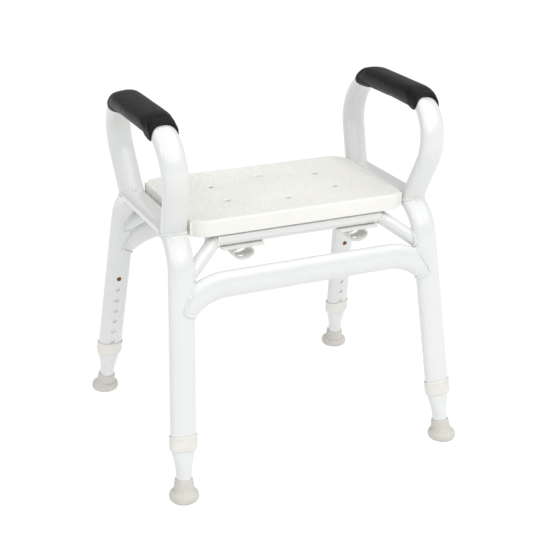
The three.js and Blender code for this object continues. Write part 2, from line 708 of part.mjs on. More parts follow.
// The rubber foot: a flat round base square to the floor, with a neck that follows the leg.
function footSolid(leg) {
  const radius = FOOT_DIAMETER / 2;
  const profile = [
    [0, 0], [radius - 4, 0], [radius - 1.2, 2.5], [radius, 6.5], [radius - 1.2, 10.5],
    [radius - 4, 13], [radius - 7.5, FOOT_BASE_HEIGHT], [0, FOOT_BASE_HEIGHT],
  ].map(([r, z]) => new THREE.Vector2(r, z));
  const base = new THREE.LatheGeometry(profile, FOOT_SIDES).rotateX(Math.PI / 2);
  const foot = legPoint(leg, 0);
  base.translate(foot.x, foot.y, 0);
  const neckProfile = [
    [0, FOOT_BASE_HEIGHT / 2], [FOOT_NECK_DIAMETER / 2 + 1, FOOT_BASE_HEIGHT / 2],
    [FOOT_NECK_DIAMETER / 2, FOOT_BASE_HEIGHT + 3], [FOOT_NECK_TOP_DIAMETER / 2, FOOT_HEIGHT],
    [0, FOOT_HEIGHT],
  ].map(([r, z]) => new THREE.Vector2(r, z));
  const neck = solid(new THREE.LatheGeometry(neckProfile, FOOT_SIDES).rotateX(Math.PI / 2), leg.group);
  const grow = 2 * FOOT_SOCKET_CLEARANCE;
  const socketShape = section(ovalPoints(STEM_DIAMETER + grow, STEM_DIAMETER - 2 * STEM_HALF_FLAT + grow));
  const socket = solid(upright(socketShape, EXTENSION_BOTTOM - GAP, FOOT_HEIGHT + 1), leg.group);
  return solid(base).add(neck).subtract(socket);
}

// ---------------------------------------------------------------- assembly

const legs = [];
const sideEnvelopes = [];
for (const side of SIDES) {
  const group = sideGroup(side);
  const sideLegs = ENDS.map((end) => legGroup(side, end, group));
  legs.push(...sideLegs);
  sideEnvelopes.push(sideFrameEnvelope(group));
  addSolid(`side_frame_${side.name}`, sideFrameSolid(group, sideLegs), powderCoat);
}

const railEnvelopes = [];
for (const end of ENDS) {
  const group = railGroup(end, legs);
  const path = endRailPath(end, legs, Math.cos(group.rotation.x));
  railEnvelopes.push(solid(sweep(railSection(GAP), path), group));
  const rail = solid(sweep(railTubeSection(), path), group);
  addSolid(`${end.name}_rail`, cutAll(rail, sideEnvelopes), powderCoat);
}

const hoopTrims = legs.map((leg) => solid(hoopTrim(leg), leg.group));
const hoopEnvelopes = SIDES.map((side) => solid(sweep(thinSection(GAP), hoopPath(side, legs))));
for (const side of SIDES) {
  const hoop = solid(sweep(thinTubeSection(), hoopPath(side, legs)));
  addSolid(`seat_hoop_${side.name}`, cutAll(hoop, [...sideEnvelopes, ...hoopTrims, ...railEnvelopes]), powderCoat);
}

for (const end of ENDS) {
  const tube = solid(sweep(thinTubeSection(), crossTubePath(end)));
  const holes = screwHoles(clipTop, tubeTop + 1);
  addSolid(`seat_cross_tube_${end.name}`, cutAll(tube, [...hoopEnvelopes, ...holes]), powderCoat);
}

SIDES.forEach((side, index) => {
  const group = armGroup(side);
  const loop = solid(sweep(ovalTubeSection(), armPath()), group);
  addSolid(`armrest_loop_${side.name}`, loop.subtract(sideEnvelopes[index]), powderCoat);
  addNode(`armrest_pad_${side.name}`, sweep(padSection(), padPath()), padVinyl, group);
});

addSolid('seat', seatSolid(), seatPlastic);
for (const clip of clipPlaces) {
  addSolid(`seat_clip_${clip.name}`, clipSolid(clip), clipPlastic);
  addNode(`seat_screw_${clip.name}`, screwGeometry(clip), zincSteel);
}

for (const leg of legs) {
  const corner = `${leg.end.name}_${leg.side.name}`;
  addNode(`leg_collar_${corner}`, solidGeometry(collarSolid()), collarPlastic, leg.group);
  addNode(`leg_extension_${corner}`, solidGeometry(extensionSolid(leg)), powderCoat, leg.group);
  addNode(`push_button_${corner}`, buttonGeometry(leg), buttonBrass, leg.group);
  addNode(`button_spring_${corner}`, springGeometry(leg), springSteel, leg.group);
  addSolid(`rubber_foot_${corner}`, footSolid(leg), footRubber);
}

export default chair;
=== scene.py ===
"""Looks for a shower chair with armrests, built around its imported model.

Metres, +Z up, the floor at z = 0 and the front of the chair towards -Y.
"""
import json
import math

import bmesh
import bpy
from mathutils import Matrix, Vector
from mathutils.bvhtree import BVHTree


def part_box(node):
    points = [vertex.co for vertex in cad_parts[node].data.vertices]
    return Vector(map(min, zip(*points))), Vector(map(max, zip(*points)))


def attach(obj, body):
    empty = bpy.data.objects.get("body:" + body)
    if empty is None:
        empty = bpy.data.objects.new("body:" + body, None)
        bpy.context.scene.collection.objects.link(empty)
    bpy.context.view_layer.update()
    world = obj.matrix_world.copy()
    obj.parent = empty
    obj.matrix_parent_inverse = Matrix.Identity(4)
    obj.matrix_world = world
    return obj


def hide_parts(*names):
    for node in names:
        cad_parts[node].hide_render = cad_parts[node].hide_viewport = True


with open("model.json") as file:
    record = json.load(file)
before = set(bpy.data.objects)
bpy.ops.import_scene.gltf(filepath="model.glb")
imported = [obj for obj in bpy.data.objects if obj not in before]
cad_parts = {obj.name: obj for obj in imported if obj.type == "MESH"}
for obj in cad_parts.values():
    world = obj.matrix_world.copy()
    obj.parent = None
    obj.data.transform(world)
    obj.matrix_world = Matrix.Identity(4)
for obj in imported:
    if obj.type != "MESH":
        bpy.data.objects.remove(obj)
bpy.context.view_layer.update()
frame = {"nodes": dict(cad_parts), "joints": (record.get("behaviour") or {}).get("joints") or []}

# ------------------------------------------------------------------ sizes

MM = 0.001
SIDES = {"left": -1, "right": 1}
ENDS = {"front": -1, "rear": 1}
CORNERS = [(end, side) for end in ENDS for side in SIDES]

# Tubes
OVAL_WIDTH = 47 * MM
OVAL_DEPTH = 25.4 * MM
OVAL_RADIUS = OVAL_DEPTH / 2
OVAL_HALF_FLAT = (OVAL_WIDTH - OVAL_DEPTH) / 2
OVAL_FULLNESS = 2.4                  # how full the oval's shoulders are, 2 being an ellipse
OVAL_WALL = 1.5 * MM
THIN_RADIUS = 12.7 * MM
THIN_WALL = 1.2 * MM

# Bends
SIDE_BEND_RADIUS = 72 * MM
ARM_BEND_RADIUS = 79 * MM
ARM_LEAN = math.radians(5)
ARM_POST_TILT = math.radians(22.5)
ARM_ROOT_SPACING = 213 * MM
END_RAIL_STRAIGHT = 322 * MM
END_RAIL_BEND_RADIUS = 113 * MM
END_RAIL_DROP = math.radians(36)
HOOP_BEND_RADIUS = 38 * MM
HOOP_ROOT_HEIGHT = 377 * MM
BEND_STEP = math.radians(3)

# Places along a leg, from the floor up its own centre line
LEG_TUBE_START = 94 * MM
HOLE_PITCH = 25 * MM
HOLE_COUNT = 7
HOLE_RADIUS = 4.5 * MM
EXTENSION_BOTTOM = 9 * MM
EXTENSION_TOP = 312 * MM
EXTENSION_WALL = 1.2 * MM
EXTENSION_INSET = 2 * MM             # from the leg tube's outside to the inner tube's
COLLAR_BOTTOM = 90.7 * MM
COLLAR_HEIGHT = 27.6 * MM
SWAGE_LENGTH = 36 * MM
STEM_RADIUS = 14.3 * MM
FOOT_HEIGHT = 38 * MM
BUTTON_TIP = 2.6 * MM                # how far the dome stands out of the leg


def centre(node):
    """The middle of a CAD node's box."""
    low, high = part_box(node)
    return (low + high) / 2


def oval_reach(tilt):
    """From an oval tube's centre line up to its highest point, with its flats tilted."""
    return OVAL_HALF_FLAT * abs(math.sin(tilt)) + OVAL_RADIUS


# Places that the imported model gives
joints = {joint["name"]: joint for joint in frame["joints"]}
leg_down = Vector(joints["leg_slide_rear_right"]["axis"])
FRAME_LEAN = math.atan2(leg_down.x, -leg_down.z)
LEG_SPLAY = math.asin(leg_down.y)
RAIL_TILT = math.atan2(leg_down.y, -leg_down.z)
foot_centre = centre("rubber_foot_rear_right")
FOOT_X = foot_centre.x
FOOT_Y = foot_centre.y
FOOT_RADIUS = FOOT_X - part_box("rubber_foot_rear_right")[0].x
SIDE_RAIL_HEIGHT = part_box("side_frame_right")[1].z - oval_reach(FRAME_LEAN)
SIDE_RAIL_X = FOOT_X - SIDE_RAIL_HEIGHT * math.tan(FRAME_LEAN)
ARM_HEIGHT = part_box("armrest_loop_right")[1].z - oval_reach(ARM_LEAN)
END_RAIL_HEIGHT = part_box("front_rail")[1].z - oval_reach(math.pi / 2 - RAIL_TILT)
SEAT_FRAME_HEIGHT = centre("seat_cross_tube_rear").z
CROSS_TUBE_Y = centre("seat_cross_tube_rear").y
HOOP_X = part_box("seat_hoop_right")[0].x + THIN_RADIUS
seat_low, seat_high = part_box("seat")
button_centre = centre("push_button_rear_right")
TOP_HOLE_HEIGHT = (button_centre - Vector((FOOT_X, FOOT_Y, 0))).dot(-leg_down)


# ------------------------------------------------------------------ meshes


SHARP_ANGLE = math.radians(32)


def smooth(mesh):
    """Shades a mesh smooth, with its edges kept where faces turn sharply."""
    mesh.polygons.foreach_set("use_smooth", [True] * len(mesh.polygons))
    mesh.set_sharp_from_angle(angle=SHARP_ANGLE)


def link(name, mesh, material):
    """A smooth-shaded object for a mesh."""
    smooth(mesh)
    mesh.materials.clear()
    mesh.materials.append(material)
    piece = bpy.data.objects.new(name, mesh)
    bpy.context.scene.collection.objects.link(piece)
    return piece


def lofted(name, rings, material, wrap=False):
    """Joins rings of points with quads. The last ring meets the first, or caps close the ends."""
    shell = bmesh.new()
    rows = [[shell.verts.new(point) for point in ring] for ring in rings]
    pairs = list(zip(rows, rows[1:]))
    if wrap:
        pairs.append((rows[-1], rows[0]))
    for lower, upper in pairs:
        for i in range(len(lower)):
            j = (i + 1) % len(lower)
            shell.faces.new((lower[i], lower[j], upper[j], upper[i]))
    if not wrap:
        shell.faces.new(rows[0])
        shell.faces.new(rows[-1])
    bmesh.ops.recalc_face_normals(shell, faces=shell.faces)
    mesh = bpy.data.meshes.new(name)
    shell.to_mesh(mesh)
    shell.free()
    return link(name, mesh, material)


def settle(piece):
    """Makes what a piece's modifiers give its own plain mesh, all in its first material."""
    graph = bpy.context.evaluated_depsgraph_get()
    mesh = bpy.data.meshes.new_from_object(piece.evaluated_get(graph))
    piece.modifiers.clear()
    old = piece.data
    piece.data = mesh
    if isinstance(old, bpy.types.Mesh):
        bpy.data.meshes.remove(old)
    while len(mesh.materials) > 1:
        mesh.materials.pop()
    mesh.polygons.foreach_set("material_index", [0] * len(mesh.polygons))
    smooth(mesh)
    return piece


def carve(piece, cutters, operation="DIFFERENCE"):
    """Cuts the cutters out of a piece, or joins them to it, and removes them."""
    for cutter in cutters:
        modifier = piece.modifiers.new("carve", "BOOLEAN")
        modifier.operation = operation
        modifier.solver = "EXACT"
        modifier.object = cutter
    settle(piece)
    for cutter in cutters:
        bpy.data.objects.remove(cutter)
    return piece


def round_edges(piece, width):
    """Rounds a piece's sharp edges."""
    bevel = piece.modifiers.new("round_edges", "BEVEL")
    bevel.width = width
    bevel.segments = 2
    bevel.limit_method = "ANGLE"
    bevel.angle_limit = math.radians(40)
    bevel.harden_normals = False
    return settle(piece)


def placed(piece, body, slot, *nodes):
    """Says which body a finished piece rides on and hides the CAD nodes it stands for. Its finish, slot,
    is not used.
    """
    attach(piece, body)
    if nodes:
        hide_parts(*nodes)
    return piece


# ------------------------------------------------------------------ outlines and centre lines


def oval_outline(half_width, half_depth, fullness=OVAL_FULLNESS, sides=48):
    """An oval with its width along the first axis: an ellipse at a fullness of 2, squarer above."""
    outline = []
    for i in range(sides):
        cosine = math.cos(math.tau * i / sides)
        sine = math.sin(math.tau * i / sides)
        across = math.copysign(abs(cosine) ** (2 / fullness), cosine)
        along = math.copysign(abs(sine) ** (2 / fullness), sine)
        outline.append((half_width * across, half_depth * along))
    return outline


def grown_oval(grow):
    """The oval tube's outline, grown outwards or, below nought, inwards."""
    return oval_outline(OVAL_WIDTH / 2 + grow, OVAL_DEPTH / 2 + grow)


def circle_outline(radius, sides=48):
    turn = 2 * math.pi / sides
    return [(radius * math.cos(turn * i), radius * math.sin(turn * i)) for i in range(sides)]


def on_edge(outline):
    return [(-b, a) for a, b in outline]


def rounded_rectangle(width, depth, radius, steps=10):
    outline = []
    for k, (sx, sy) in enumerate(((1, 1), (-1, 1), (-1, -1), (1, -1))):
        for i in range(steps + 1):
            angle = math.pi / 2 * (k + i / steps)
            x = sx * (width / 2 - radius) + radius * math.cos(angle)
            y = sy * (depth / 2 - radius) + radius * math.sin(angle)
            outline.append((x, y))
    return outline


def rounding(steps):
    """The angles of a quarter round, from nought to a right angle."""
    return [math.pi / 2 * i / steps for i in range(steps + 1)]


def bent(corners, radius):
    """Stations (point, tangent) along straights joined by arcs of one radius."""
    stations = [(corners[0], (corners[1] - corners[0]).normalized())]
    for before, corner, after in zip(corners, corners[1:], corners[2:]):
        arriving = (corner - before).normalized()
        leaving = (after - corner).normalized()
        turn = arriving.angle(leaving)
        start = corner - arriving * radius * math.tan(turn / 2)
        inward = (leaving - arriving * leaving.dot(arriving)).normalized()
        steps = max(2, math.ceil(turn / BEND_STEP))
        for k in range(steps + 1):
            angle = turn * k / steps
            point = start + arriving * radius * math.sin(angle)
            point += inward * radius * (1 - math.cos(angle))
            stations.append((point, arriving * math.cos(angle) + inward * math.sin(angle)))
    stations.append((corners[-1], (corners[-1] - corners[-2]).normalized()))
    return stations


def swept(stations, across, outline, matrix=None):
    """One ring of points for each station, with the outline's first axis across the bend."""
    rings = []
    for point, tangent in stations:
        out = tangent.cross(across).normalized()
        ring = [point + across * a + out * b for a, b in outline]
        rings.append([matrix @ p for p in ring] if matrix else ring)
    return rings


def stacked(levels, outline_at, matrix=None):
    """One ring for each (grow, height), from an outline that depends on grow."""
    rings = []
    for grow, height in levels:
        ring = [Vector((a, b, height)) for a, b in outline_at(grow)]
        rings.append([matrix @ p for p in ring] if matrix else ring)
    return rings


def tube(name, outer, inner, material):
    """A tube with a real wall from its outer and inner rings."""
    return lofted(name, outer + inner[::-1], material, wrap=True)


# ------------------------------------------------------------------ frames of reference

X_AXIS = Vector((1, 0, 0))
Y_AXIS = Vector((0, 1, 0))
QUARTER_TURN = Matrix.Rotation(math.pi / 2, 4, "X")


def side_matrix(side):
    place = Matrix.Translation((side * FOOT_X, 0, 0))
    return place @ Matrix.Rotation(-side * FRAME_LEAN, 4, "Y")


def leg_matrix(end, side):
    """A leg's own frame: its foot at the origin and its centre line up +Z."""
    place = Matrix.Translation((0, end * FOOT_Y, 0))
    return side_matrix(side) @ place @ Matrix.Rotation(end * LEG_SPLAY, 4, "X")


def arm_matrix(side):
    place = Matrix.Translation((side * SIDE_RAIL_X, 0, SIDE_RAIL_HEIGHT))
    return place @ Matrix.Rotation(side * ARM_LEAN, 4, "Y")


def rail_matrix(end):
    place = Matrix.Translation((0, end * FOOT_Y, 0))
    return place @ Matrix.Rotation(end * RAIL_TILT, 4, "X")


def leg_point(end, side, height):
    """A point of a leg's centre line at a height above the floor."""
    matrix = leg_matrix(end, side)
    up = matrix.to_3x3() @ Vector((0, 0, 1))
    return matrix.translation + up * (height / up.z)


# ------------------------------------------------------------------ materials


def colour(code):
    """An sRGB hex colour as linear RGBA."""
    channels = []
    for i in (0, 2, 4):
        value = int(code[i:i + 2], 16) / 255
        channels.append(value / 12.92 if value <= 0.04045 else ((value + 0.055) / 1.055) ** 2.4)
    return (*channels, 1.0)


def add_node(tree, kind, inputs=None, **settings):
    """Adds a node, sets its properties, and fills or links its inputs."""
    made = tree.nodes.new(kind)
    for name, value in settings.items():
        setattr(made, name, value)
    for name, value in (inputs or {}).items():
        socket = made.inputs[name]
        if isinstance(value, bpy.types.NodeSocket):
            tree.links.new(value, socket)
        else:
            socket.default_value = value
    return made


def mottled_material(name, tone, gloss=None, relief=None, **shader):
    """A material whose tone, roughness and relief follow cloudy noise over the piece.

    Each of these starts with its noise's grain, a (size, detail) pair. Tone goes on with where
    its two colours are reached and what they are, gloss with two roughnesses, relief with a depth.
    """
    material = bpy.data.materials.new(name)
    material.use_nodes = True
    tree = material.node_tree
    surface = tree.nodes["Principled BSDF"]
    for socket, value in shader.items():
        surface.inputs[socket.replace("_", " ")].default_value = value
    place = add_node(tree, "ShaderNodeTexCoord").outputs["Object"]
    clouds = {}
    for look in (tone, gloss, relief):
        if look and look[0] not in clouds:
            size, detail = look[0]
            inputs = {"Vector": place, "Scale": 1 / size, "Detail": detail}
            clouds[look[0]] = add_node(tree, "ShaderNodeTexNoise", inputs).outputs["Fac"]
    grain, low, high, dark, light = tone
    ramp = add_node(tree, "ShaderNodeValToRGB", {"Fac": clouds[grain]})
    for stop, position, code in zip(ramp.color_ramp.elements, (low, high), (dark, light)):
        stop.position = position
        stop.color = colour(code)
    tree.links.new(ramp.outputs["Color"], surface.inputs["Base Color"])
    if gloss:
        grain, least, most = gloss
        inputs = {"Value": clouds[grain], "To Min": least, "To Max": most}
        ranged = add_node(tree, "ShaderNodeMapRange", inputs)
        tree.links.new(ranged.outputs["Result"], surface.inputs["Roughness"])
    if relief:
        grain, depth = relief
        inputs = {"Height": clouds[grain], "Distance": depth, "Strength": 1.0}
        bump = add_node(tree, "ShaderNodeBump", inputs)
        tree.links.new(bump.outputs["Normal"], surface.inputs["Normal"])
    return material


def moulded_rubber_material():
    # Moulded thermoplastic rubber: beige, matt and grippy, darker towards the floor.
    speck = (5 * MM, 4.0)
    material = mottled_material(
        "moulded_foot_rubber",
        tone=(speck, 0.3, 0.7, "cbc8c0", "d6d3cc"),
        gloss=(speck, 0.6, 0.78),
        relief=((0.7 * MM, 2.0), 0.06 * MM),
    )
    tree = material.node_tree
    place = tree.nodes["Texture Coordinate"].outputs["Object"]
    target = tree.nodes["Principled BSDF"].inputs["Base Color"]
    # Colour darkened towards the floor: three quarters at the floor, full from 5 mm up.
    height = add_node(tree, "ShaderNodeSeparateXYZ", {"Vector": place}).outputs["Z"]
    inputs = {"Value": height, "From Min": 0.0, "From Max": 5 * MM, "To Min": 0.75, "To Max": 1.0}
    darker_towards_floor = add_node(tree, "ShaderNodeMapRange", inputs).outputs["Result"]
    inputs = {0: target.links[0].from_socket, "Scale": darker_towards_floor}
    shade = add_node(tree, "ShaderNodeVectorMath", inputs, operation="SCALE")
    tree.links.new(shade.outputs[0], target)
    return material


def upholstery_vinyl_material():
    # Soft upholstery vinyl: black, satin, with a fine leather grain over broader creases.
    crease = (16 * MM, 3.0)
    material = mottled_material(
        "black_upholstery_vinyl",
        tone=(crease, 0.3, 0.7, "0a0a0b", "121214"),
        gloss=(crease, 0.4, 0.52),
        relief=(crease, 0.5 * MM),
        Sheen_Weight=0.03,
        Sheen_Roughness=0.5,
        Specular_IOR_Level=0.18,
    )
    tree = material.node_tree
    place = tree.nodes["Texture Coordinate"].outputs["Object"]
    target = tree.nodes["Principled BSDF"].inputs["Normal"]
    inputs = {"Vector": place, "Scale": 1 / (1.7 * MM), "Randomness": 1.0}
    pores = add_node(tree, "ShaderNodeTexVoronoi", inputs, feature="DISTANCE_TO_EDGE")
    inputs = {"Height": pores.outputs["Distance"], "Distance": 0.18 * MM, "Strength": 1.0}
    inputs["Normal"] = target.links[0].from_socket
    tree.links.new(add_node(tree, "ShaderNodeBump", inputs).outputs["Normal"], target)
    return material


def bare_metal(name, size, dark, light, least, most):
    """A bare metal, mottled between two colours and two roughnesses."""
    grain = (size, 3.0)
    tone = (grain, 0.3, 0.7, dark, light)
    return mottled_material(name, tone, (grain, least, most), (grain, 0.01 * MM), Metallic=1.0)


# Gloss polyester powder coat on tube: cool white, with the soft orange peel of baked powder.
powder_coat = mottled_material(
    "gloss_white_powder_coat",
    tone=((140 * MM, 2.0), 0.2, 0.8, "e1e3e2", "e4e6e4"),
    gloss=((140 * MM, 2.0), 0.2, 0.26),
    relief=((2.4 * MM, 1.0), 0.02 * MM),
    Coat_Weight=1.0,
    Coat_Roughness=0.05,
)
# Blow-moulded polypropylene: warm white and satin, faintly clouded, with a fine spark-eroded skin.
seat_plastic = mottled_material(
    "moulded_seat_polypropylene",
    tone=((90 * MM, 3.0), 0.3, 0.7, "eeede8", "f1f0eb"),
    gloss=((1.1 * MM, 2.0), 0.42, 0.56),
    relief=((1.1 * MM, 2.0), 0.03 * MM),
    Subsurface_Weight=0.05,
    Subsurface_Radius=(2 * MM, 1.6 * MM, 1.2 * MM),
)
# Injection-moulded nylon: off-white, satin, with faint flow marks.
clip_plastic = mottled_material(
    "moulded_clip_nylon",
    tone=((9 * MM, 3.0), 0.3, 0.7, "dfded9", "e8e7e3"),
    gloss=((9 * MM, 3.0), 0.38, 0.5),
    relief=((0.8 * MM, 2.0), 0.02 * MM),
)
# Moulded polyethylene: cream and slightly waxy, a little greyer where it has been handled.
collar_plastic = mottled_material(
    "moulded_collar_polyethylene",
    tone=((14 * MM, 3.0), 0.3, 0.7, "e3e1da", "ebe9e3"),
    gloss=((14 * MM, 3.0), 0.42, 0.55),
    relief=((0.9 * MM, 2.0), 0.03 * MM),
    Subsurface_Weight=0.08,
    Subsurface_Radius=(1.6 * MM, 1.3 * MM, 1 * MM),
)
foot_rubber = moulded_rubber_material()
pad_vinyl = upholstery_vinyl_material()
# Bonded polyester thread: black with a slight sheen, twisted.
pad_thread = mottled_material(
    "black_polyester_thread",
    tone=((0.5 * MM, 2.0), 0.3, 0.7, "0a0a0b", "1d1d20"),
    gloss=((0.5 * MM, 2.0), 0.5, 0.65),
    relief=((0.5 * MM, 2.0), 0.05 * MM),
    Sheen_Weight=0.3,
)
# Lacquered brass, gone brown: the button's dome.
button_brass = bare_metal("tarnished_button_brass", 3 * MM, "5c3a1c", "94663a", 0.28, 0.42)
# Rolled spring strip: grey, with a dull rolled skin.
spring_steel = bare_metal("rolled_spring_steel", 4 * MM, "9a9da1", "bfc2c6", 0.32, 0.45)
# Bright zinc plate: pale, slightly patchy.
zinc_steel = bare_metal("zinc_plated_steel", 2 * MM, "b4b8bc", "d2d5d8", 0.3, 0.42)
# Seamless white studio sweep, lit from beneath until it is blank.
studio_sweep = mottled_material(
    "white_studio_sweep",
    tone=((30 * MM, 2.0), 0.2, 0.8, "48484a", "4c4c4c"),
    Roughness=0.9,
    Specular_IOR_Level=0.0,
    Emission_Color=colour("ffffff"),
    Emission_Strength=0.96,
)


# ------------------------------------------------------------------ geometry node trees


def new_tree(name, inputs):
    """A node tree for a modifier, with named inputs besides its geometry."""
    tree = bpy.data.node_groups.new(name, "GeometryNodeTree")
    tree.interface.new_socket("Geometry", in_out="INPUT", socket_type="NodeSocketGeometry")
    for socket, kind in inputs.items():
        tree.interface.new_socket(socket, in_out="INPUT", socket_type=kind)
    tree.interface.new_socket("Geometry", in_out="OUTPUT", socket_type="NodeSocketGeometry")
    return tree, add_node(tree, "NodeGroupInput").outputs


def close_tree(tree, given, shapes):
    """Ends a tree with one real mesh in the given material."""
    joined = add_node(tree, "GeometryNodeJoinGeometry")
    for shape in shapes:
        tree.links.new(shape, joined.inputs["Geometry"])
    real = add_node(tree, "GeometryNodeRealizeInstances", {"Geometry": joined.outputs[0]})
    smooth = add_node(tree, "GeometryNodeSetShadeSmooth", {"Geometry": real.outputs[0]})
    inputs = {"Geometry": smooth.outputs[0], "Material": given["Material"]}
    painted = add_node(tree, "GeometryNodeSetMaterial", inputs)
    add_node(tree, "NodeGroupOutput", {0: painted.outputs[0]})
    return tree


def beads_tree():
    """Overlapping beads along a line, on a core: weld scales, or stitches."""
    tree, given = new_tree("beads_along_a_line", {
        "Pitch": "NodeSocketFloat",
        "Bead Size": "NodeSocketVector",
        "Unevenness": "NodeSocketFloat",
        "Core Radius": "NodeSocketFloat",
        "Seed": "NodeSocketInt",
        "Material": "NodeSocketMaterial",
    })
    line_inputs = {"Curve": given["Geometry"], "Length": given["Pitch"]}
    line = add_node(tree, "GeometryNodeResampleCurve", line_inputs, mode="LENGTH")
    ball = add_node(tree, "GeometryNodeMeshUVSphere", {"Segments": 12, "Rings": 7, "Radius": 1.0})
    along = add_node(tree, "GeometryNodeInputTangent").outputs[0]
    turned = add_node(tree, "FunctionNodeAlignRotationToVector", {"Vector": along}, axis="Z")
    lowest = add_node(tree, "ShaderNodeMath", {0: 1.0, 1: given["Unevenness"]}, operation="SUBTRACT")
    highest = add_node(tree, "ShaderNodeMath", {0: 1.0, 1: given["Unevenness"]}, operation="ADD")
    vary = add_node(tree, "FunctionNodeRandomValue", data_type="FLOAT")
    tree.links.new(lowest.outputs[0], vary.inputs[2])
    tree.links.new(highest.outputs[0], vary.inputs[3])
    tree.links.new(given["Seed"], vary.inputs["Seed"])
    size_inputs = {0: given["Bead Size"], "Scale": vary.outputs[1]}
    size = add_node(tree, "ShaderNodeVectorMath", size_inputs, operation="SCALE")
    beads = add_node(tree, "GeometryNodeInstanceOnPoints", {
        "Points": line.outputs[0],
        "Instance": ball.outputs["Mesh"],
        "Rotation": turned.outputs[0],
        "Scale": size.outputs[0],
    })
    ring_inputs = {"Resolution": 8, "Radius": given["Core Radius"]}
    ring = add_node(tree, "GeometryNodeCurvePrimitiveCircle", ring_inputs)
    core_inputs = {"Curve": line.outputs[0], "Profile Curve": ring.outputs[0]}
    core = add_node(tree, "GeometryNodeCurveToMesh", core_inputs)
    return close_tree(tree, given, [beads.outputs[0], core.outputs[0]])


def pebbles_tree():
    """Low pebbles scattered over a surface, no two closer than the pitch."""
    tree, given = new_tree("pebbles_on_a_face", {
        "Pitch": "NodeSocketFloat",
        "Pebble Size": "NodeSocketVector",
        "Seed": "NodeSocketInt",
        "Material": "NodeSocketMaterial",
    })
    spots = add_node(tree, "GeometryNodeDistributePointsOnFaces", distribute_method="POISSON")
    tree.links.new(given["Geometry"], spots.inputs["Mesh"])
    tree.links.new(given["Pitch"], spots.inputs["Distance Min"])
    tree.links.new(given["Seed"], spots.inputs["Seed"])
    spots.inputs["Density Max"].default_value = 400000.0
    ball = add_node(tree, "GeometryNodeMeshIcoSphere", {"Radius": 1.0, "Subdivisions": 1})
    vary = add_node(tree, "FunctionNodeRandomValue", data_type="FLOAT")
    vary.inputs[2].default_value = 0.8
    vary.inputs[3].default_value = 1.1
    tree.links.new(given["Seed"], vary.inputs["Seed"])
    size_inputs = {0: given["Pebble Size"], "Scale": vary.outputs[1]}
    size = add_node(tree, "ShaderNodeVectorMath", size_inputs, operation="SCALE")
    spin = add_node(tree, "FunctionNodeRandomValue", data_type="FLOAT")
    spin.inputs[3].default_value = math.tau
    turn = add_node(tree, "ShaderNodeCombineXYZ", {"Z": spin.outputs[1]})
    pebbles = add_node(tree, "GeometryNodeInstanceOnPoints", {
        "Points": spots.outputs["Points"],
        "Instance": ball.outputs["Mesh"],
        "Rotation": turn.outputs[0],
        "Scale": size.outputs[0],
    })
    return close_tree(tree, given, [pebbles.outputs[0]])


BEADS = beads_tree()
PEBBLES = pebbles_tree()


def grow_from(piece, tree, **values):
    """Runs a tree on a piece, with its named inputs set, and keeps the result as a mesh object."""
    modifier = piece.modifiers.new("grow", "NODES")
    modifier.node_group = tree
    for socket in tree.interface.items_tree:
        key = socket.name.lower().replace(" ", "_")
        if socket.in_out == "INPUT" and key in values:
            modifier[socket.identifier] = values[key]
    graph = bpy.context.evaluated_depsgraph_get()
    mesh = bpy.data.meshes.new_from_object(piece.evaluated_get(graph))
    name = piece.name
    bpy.data.objects.remove(piece)
    made = bpy.data.objects.new(name, mesh)
    bpy.context.scene.collection.objects.link(made)
    return made


def closed_line(name, loops):
    """A curve object with one closed line for each loop of points."""
    curve = bpy.data.curves.new(name, "CURVE")
    curve.dimensions = "3D"
    for points in loops:
        spline = curve.splines.new("POLY")
        spline.points.add(len(points) - 1)
        for slot, point in zip(spline.points, points):
            slot.co = (*point, 1)
        spline.use_cyclic_u = True
    line = bpy.data.objects.new(name, curve)
    bpy.context.scene.collection.objects.link(line)
    return line


# ------------------------------------------------------------------ welds

WELD_RADIUS = 3.4 * MM
WELD_PITCH = 4.2 * MM
WELD_CORE_RADIUS = 0.8 * WELD_RADIUS
WELD_UNEVENNESS = 0.14


def meeting_line(rings, target):
    """Where each long line of a tube, followed towards its end, first meets another piece."""
    mesh = target.data
    corners = [vertex.co for vertex in mesh.vertices]
    faces = [polygon.vertices for polygon in mesh.polygons]
    surface = BVHTree.FromPolygons(corners, faces)
    line = []
    for i in range(len(rings[0])):
        found = None
        for near, far in zip(rings, rings[1:]):
            step = far[i] - near[i]
            found = surface.ray_cast(near[i], step.normalized(), step.length)[0]
            if found:
                break
        line.append(found or surface.find_nearest(rings[-1][i])[0])
    return line


def end_lines(rings, target_at_start, target_at_end):
    """A tube's two meeting lines, each followed outwards from the tube's middle."""
    middle = len(rings) // 2
    return [
        meeting_line(rings[middle::-1], target_at_start),
        meeting_line(rings[middle:], target_at_end),
    ]


def weld(name, loops, seed):
    bead = grow_from(
        closed_line(name, loops),
        BEADS,
        pitch=WELD_PITCH,
        bead_size=(WELD_RADIUS, WELD_RADIUS, WELD_CORE_RADIUS),
        unevenness=WELD_UNEVENNESS,
        core_radius=WELD_CORE_RADIUS,
        seed=seed,
        material=powder_coat,
    )
    return placed(bead, "frame", "powder_coat")


# ------------------------------------------------------------------ metal frame


def side_stations():
    rail = SIDE_RAIL_HEIGHT / math.cos(FRAME_LEAN)
    corner = FOOT_Y - rail * math.tan(LEG_SPLAY)
    end = LEG_TUBE_START * math.cos(LEG_SPLAY)
    foot = FOOT_Y - end * math.tan(LEG_SPLAY)
    corners = [(0, -foot, end), (0, -corner, rail), (0, corner, rail), (0, foot, end)]
    return bent([Vector(point) for point in corners], SIDE_BEND_RADIUS)


def side_rings(side, grow):
    return swept(side_stations(), X_AXIS, grown_oval(grow), side_matrix(side))


